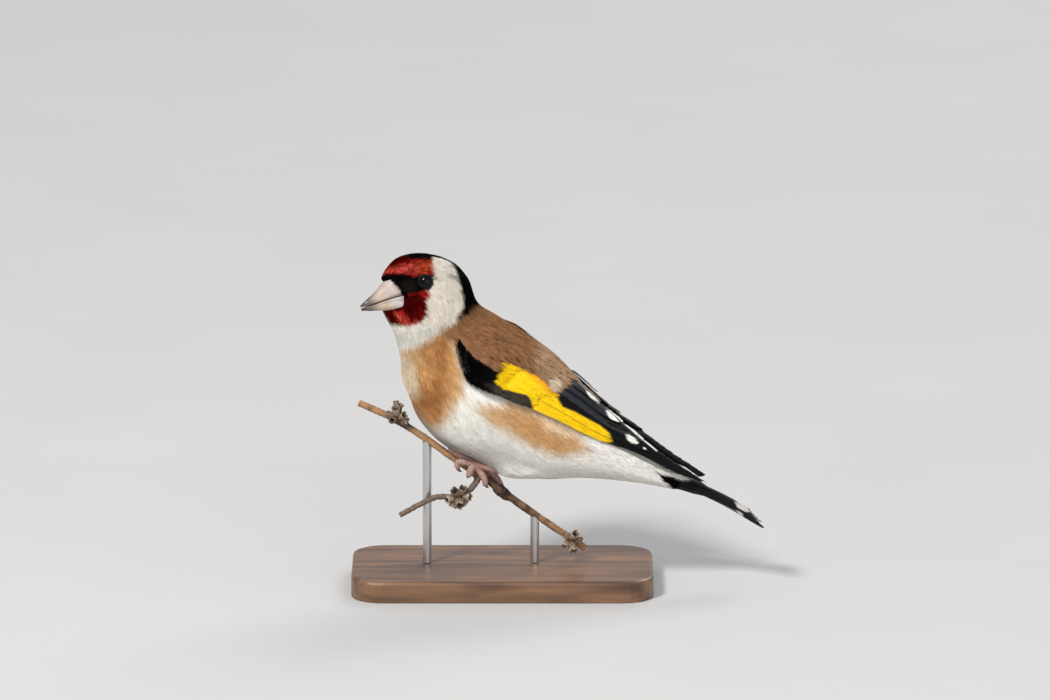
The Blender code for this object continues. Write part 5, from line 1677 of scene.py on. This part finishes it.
def bud_rings(start, out, size, seed):
    """One dry bud: a ribbed cup with a toothed rim and a hollow mouth, with painted shade in the mouth
    and in the grooves between its ribs.
    """
    rng = np.random.default_rng(seed)
    outer = np.linspace(0, 1.0, 24)
    inner = np.linspace(0.98, 0.4, 10)
    key = np.concatenate([outer, inner])
    radius = np.concatenate([np.interp(outer, *BUD_CUP), np.interp(inner, *BUD_HOLLOW)])
    radius = BUD_RADIUS * size * radius
    points = start + out * BUD_LENGTH * 0.85 * size * key[:, None]
    side = unit(np.cross(out, (0.3, 1.0, 0.2)))
    turn = full_turn(BUD_SIDES)[None, :, None]
    phase = rng.uniform(0, 2 * math.pi)
    ribs = 1 + 0.045 * np.cos(turn * 10 + phase) + 0.06 * np.cos(turn * 3 + 2 * phase)
    circle = spokes(turn[..., 0], side, np.cross(out, side))
    rings = points[:, None, :] + radius[:, None, None] * ribs * circle
    teeth = np.abs(np.sin(turn * 2.5 + phase)) ** 0.7 * rng.uniform(0.5, 1.0)
    rings = rings + out * (teeth - 0.4) * 0.75 * ease((key - 0.72) / 0.28)[:, None, None]
    pale = ease((key - 0.55) / 0.45) * rng.uniform(0.4, 1.0)
    base = mix(BUD_BROWN, BUD_PALE, pale) * rng.uniform(0.75, 1.25)
    # Painted shade, deepening into the hollow mouth.
    deep = np.concatenate([np.zeros(len(outer)), np.linspace(0.35, 1.0, len(inner))])
    base = mix(base, BUD_MOUTH_SHADE, deep)
    # Painted shade in the grooves between the ribs.
    groove = 1 - 0.28 * (1 - np.cos(turn[..., 0] * 10 + phase)) / 2
    tint = base[:, None, :] * (groove * (1 + 0.22 * ripple(rings, 0.8, seed)))[..., None]
    return rings, np.clip(tint, 0, 1)


def twig_part():
    """Rings and tint of the twig itself, a little swollen at its ends' knots."""
    x = np.linspace(TWIG_PATH[0][0], TWIG_PATH[-1][0], 260)
    swell = TWIG_RADIUS * (1 + 0.04 * np.sin(x * 0.9)
                           + 0.10 * np.exp(-((x + 20.3) / 1.1) ** 2)
                           + 0.10 * np.exp(-((x - 28.0) / 1.2) ** 2))
    swell = swell * np.interp(x, (-31.0, -4.0, 0.0, 14.0, 20.0, 32.0),
                              (0.88, 0.88, 1.0, 1.0, 0.88, 0.88))
    rings = rough_tube(twig_frame(x)[0], swell, TWIG_SIDES, 31, 0.028)
    return rings, bark_tint(rings, x)


def knot_part():
    """Rings and tint of the dark knot behind the feet, its tint halved, partly its own dark bark and
    partly painted shade under the bird.
    """
    x = np.linspace(KNOT[0] - 0.4, KNOT[1] + 0.4, 36)
    centre = twig_frame(x)[0] + np.array((0.0, 0.0, -0.25))
    swell = np.interp(x, np.linspace(KNOT[0], KNOT[1], 5), (0.7, 1.35, 1.5, 1.3, 0.7))
    rings = rough_tube(centre, TWIG_RADIUS * swell, TWIG_SIDES, 41, 0.09)
    return rings, bark_tint(rings, x) * 0.5


def stem_part():
    """Rings and tint of the grey side stem."""
    key = np.linspace(0, len(SIDE_STEM) - 1, 110)
    radii = SIDE_RADIUS * (1.15 - 0.25 * key / key[-1])
    rings = rough_tube(smooth(SIDE_STEM, key), radii, SIDE_SIDES, 51, 0.07)
    return rings, np.array(STEM_GREY) * (1 + 0.25 * ripple(rings, 1.2, 9))[..., None]


def make_twig(material):
    """The cut length of twig: bark, knot, side stem and dry buds."""
    parts = [twig_part(), knot_part(), stem_part()]
    for n, (root, out, size) in enumerate(BUDS):
        parts.append(bud_rings(np.array(root), unit(out), size, 100 + n))
    loft_parts("twig_bark_stem", parts, material, ("perch_twig",))


# Finishes.
def new_material(name):
    """A material with a Principled shader, its tree and its shader node."""
    material = bpy.data.materials.new(name)
    material.use_nodes = True
    tree = material.node_tree
    return material, tree, tree.nodes["Principled BSDF"]


def add_node(tree, kind, values=None, **sources):
    """A shader node with values for its inputs and the sockets that feed them."""
    node = tree.nodes.new("ShaderNode" + kind)
    for name, value in (values or {}).items():
        node.inputs[name].default_value = value
    for name, source in sources.items():
        tree.links.new(source, node.inputs[name])
    return node


def read_attribute(tree, name):
    """A node that reads one of the piece's own attributes."""
    node = add_node(tree, "Attribute")
    node.attribute_name = name
    return node


def add_bump(tree, shader, height, strength, distance):
    """Fine relief on a finish."""
    bump = add_node(tree, "Bump", {"Strength": strength, "Distance": distance}, Height=height)
    tree.links.new(bump.outputs["Normal"], shader.inputs["Normal"])


def speckled_tint(tree, shader, size, detail, swing):
    """Colours a finish by the piece's own tint, varied by fine noise, and gives the noise."""
    tint = read_attribute(tree, "tint")
    place = add_node(tree, "TexCoord")
    noise = add_node(tree, "TexNoise", {"Scale": size, "Detail": detail},
                     Vector=place.outputs["Object"])
    span = add_node(tree, "MapRange", {"To Min": 1 - swing, "To Max": 1 + swing},
                    Value=noise.outputs["Fac"])
    scaled = add_node(tree, "VectorMath", Vector=tint.outputs["Color"])
    scaled.operation = "SCALE"
    tree.links.new(span.outputs["Result"], scaled.inputs["Scale"])
    tree.links.new(scaled.outputs["Vector"], shader.inputs["Base Color"])
    return noise.outputs["Fac"]


def plumage_material(name, roughness, specular, relief=0.0):
    """A soft finish that takes its colour from the feathers' own tint."""
    material, tree, shader = new_material(name)
    speckled_tint(tree, shader, size=1600.0, detail=3.0, swing=0.15)
    shader.inputs["Roughness"].default_value = roughness
    shader.inputs["Specular IOR Level"].default_value = specular
    if relief:
        grain = read_attribute(tree, "grain")
        wave = add_node(tree, "TexWave", {"Scale": 1.0, "Distortion": 1.2, "Detail": 1.0},
                        Vector=grain.outputs["Vector"])
        add_bump(tree, shader, wave.outputs["Fac"], relief, 0.00006)
    return material


def tinted_material(name, roughness, size, coat=0.0, relief=0.0, specular=0.4):
    """A hard finish that takes its colour from the piece's own tint."""
    material, tree, shader = new_material(name)
    noise = speckled_tint(tree, shader, size, detail=4.0, swing=0.2)
    rough = add_node(tree, "MapRange", {"To Min": max(roughness - 0.1, 0.02),
                                        "To Max": roughness + 0.1}, Value=noise)
    tree.links.new(rough.outputs["Result"], shader.inputs["Roughness"])
    shader.inputs["Coat Weight"].default_value = coat
    shader.inputs["Coat Roughness"].default_value = 0.05
    shader.inputs["Specular IOR Level"].default_value = specular
    if relief:
        add_bump(tree, shader, noise, relief, 0.0001)
    return material


def stretched_noise(tree, stretch, values):
    """Noise drawn out into grain."""
    place = add_node(tree, "TexCoord")
    grain = add_node(tree, "Mapping", {"Scale": stretch}, Vector=place.outputs["Object"])
    return add_node(tree, "TexNoise", values, Vector=grain.outputs["Vector"]).outputs["Fac"]


def ramp_colour(tree, shader, noise, stops):
    """Colours a finish by noise, between two colours at their places on a ramp."""
    ramp = add_node(tree, "ValToRGB", Fac=noise)
    for element, (place, colour) in zip(ramp.color_ramp.elements, stops):
        element.position = place
        element.color = colour
    tree.links.new(ramp.outputs["Color"], shader.inputs["Base Color"])


def wood_material():
    """Turned and oiled wood with its grain along the base."""
    material, tree, shader = new_material("stand_walnut")
    rings = stretched_noise(tree, (18.0, 160.0, 160.0),
                            {"Scale": 1.2, "Detail": 8.0, "Distortion": 0.6})
    ramp_colour(tree, shader, rings, ((0.35, WOOD_DARK), (0.68, WOOD_LIGHT)))
    add_bump(tree, shader, rings, 0.25, 0.0001)
    shader.inputs["Roughness"].default_value = 0.42
    shader.inputs["Coat Weight"].default_value = 0.25
    shader.inputs["Coat Roughness"].default_value = 0.25
    return material


def steel_material():
    """Brushed steel."""
    material, tree, shader = new_material("stand_steel")
    noise = stretched_noise(tree, (2500.0, 2500.0, 60.0), {"Scale": 1.0, "Detail": 3.0})
    rough = add_node(tree, "MapRange", {"To Min": 0.22, "To Max": 0.42}, Value=noise)
    tree.links.new(rough.outputs["Result"], shader.inputs["Roughness"])
    ramp_colour(tree, shader, noise, ((0.0, STEEL_DARK), (1.0, STEEL_LIGHT)))
    shader.inputs["Metallic"].default_value = 1.0
    return material


def finish_stand():
    """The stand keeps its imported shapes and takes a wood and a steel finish."""
    wood = wood_material()
    steel = steel_material()
    for name, material in (("stand_base", wood), ("stand_rod_front", steel),
                           ("stand_rod_back", steel)):
        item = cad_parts[name]
        if item.data.materials:
            for place in item.material_slots:
                place.material = material
        else:
            item.data.materials.append(material)


# Camera, floor and light.
def make_camera():
    """The camera at the photograph's angle and framing."""
    data = bpy.data.cameras.new("camera")
    data.lens = LENS
    data.sensor_width = SENSOR
    data.clip_start = 0.05
    data.clip_end = 50.0
    camera = add_object("camera", data)
    wide = PHOTO_WIDTH / PHOTO_SCALE * MM
    away = wide * LENS / SENSOR
    target = Vector(VIEW_TARGET)
    back = Vector((0.0, -math.cos(VIEW_RISE), math.sin(VIEW_RISE)))
    camera.location = target + back * away
    camera.rotation_euler = (-back).to_track_quat("-Z", "Y").to_euler()
    bpy.context.scene.camera = camera


def make_stage():
    """The plain pale floor."""
    material, tree, shader = new_material("floor_paper")
    noise = add_node(tree, "TexNoise", {"Scale": 300.0})
    pale = add_node(tree, "MapRange", {"To Min": 0.56, "To Max": 0.60}, Value=noise.outputs["Fac"])
    grey = {name: pale.outputs["Result"] for name in ("Red", "Green", "Blue")}
    shade = add_node(tree, "CombineColor", **grey)
    tree.links.new(shade.outputs["Color"], shader.inputs["Base Color"])
    shader.inputs["Roughness"].default_value = 0.9
    mesh = bpy.data.meshes.new("floor")
    corners = [(x * FLOOR_HALF, y * FLOOR_HALF, 0) for x, y in ((-1, -1), (1, -1), (1, 1), (-1, 1))]
    mesh.from_pydata(corners, [], [(0, 1, 2, 3)])
    mesh.materials.append(material)
    floor = add_object("floor", mesh)


def make_light(name, place, size, power, colour):
    """A soft area light that faces the model."""
    data = bpy.data.lights.new(name, "AREA")
    data.size = size
    data.energy = power
    data.color = colour
    lamp = add_object(name, data)
    lamp.location = place
    lamp.rotation_euler = (Vector(VIEW_TARGET) - Vector(place)).to_track_quat("-Z", "Y").to_euler()


def make_lights():
    """Plain soft studio light, the main one high on the left in front."""
    for lamp in LAMPS:
        make_light(*lamp)
    world = bpy.data.worlds.new("soft_room")
    world.use_nodes = True
    ground = world.node_tree.nodes["Background"]
    ground.inputs["Color"].default_value = ROOM_LIGHT
    ground.inputs["Strength"].default_value = ROOM_STRENGTH
    bpy.context.scene.world = world
    bpy.context.scene.view_settings.view_transform = "Standard"


def make_bird():
    """Skin, coat, wings, tail, bill, eyes and feet."""
    plumage = plumage_material("plumage", roughness=0.75, specular=0.015)
    vanes = plumage_material("vanes", roughness=0.5, specular=0.07, relief=0.25)
    horn = tinted_material("bill_horn_finish", roughness=0.38, coat=0.15, relief=0.15, size=700.0)
    wet = tinted_material("eye_finish", roughness=0.06, size=700.0, specular=0.16)
    bare = tinted_material("bare_skin_finish", roughness=0.38, coat=0.15, relief=0.3, size=2200.0)
    rim = tinted_material("lid_finish", roughness=0.6, relief=0.3, size=1400.0, specular=0.2)
    make_skin(plumage)
    for name, keys, slot, seed, fan in COAT_PIECES:
        body_coat(name, keys, seed, fan, plumage)
    make_wing(-1, "left", vanes, plumage)
    make_wing(1, "right", vanes, plumage)
    make_tail(vanes)
    make_bill("upper", True, horn)
    make_bill("lower", False, horn)
    make_bristles(plumage)
    for side, word in ((-1, "left"), (1, "right")):
        make_eyeball(side, word, wet)
        make_lid(side, word, rim)
        make_foot(side, word, bare)


def main():
    """The whole scene."""
    make_camera()
    make_stage()
    make_lights()
    make_bird()
    make_twig(tinted_material("bark_finish", roughness=0.75, relief=0.6, size=1500.0))
    finish_stand()


main()
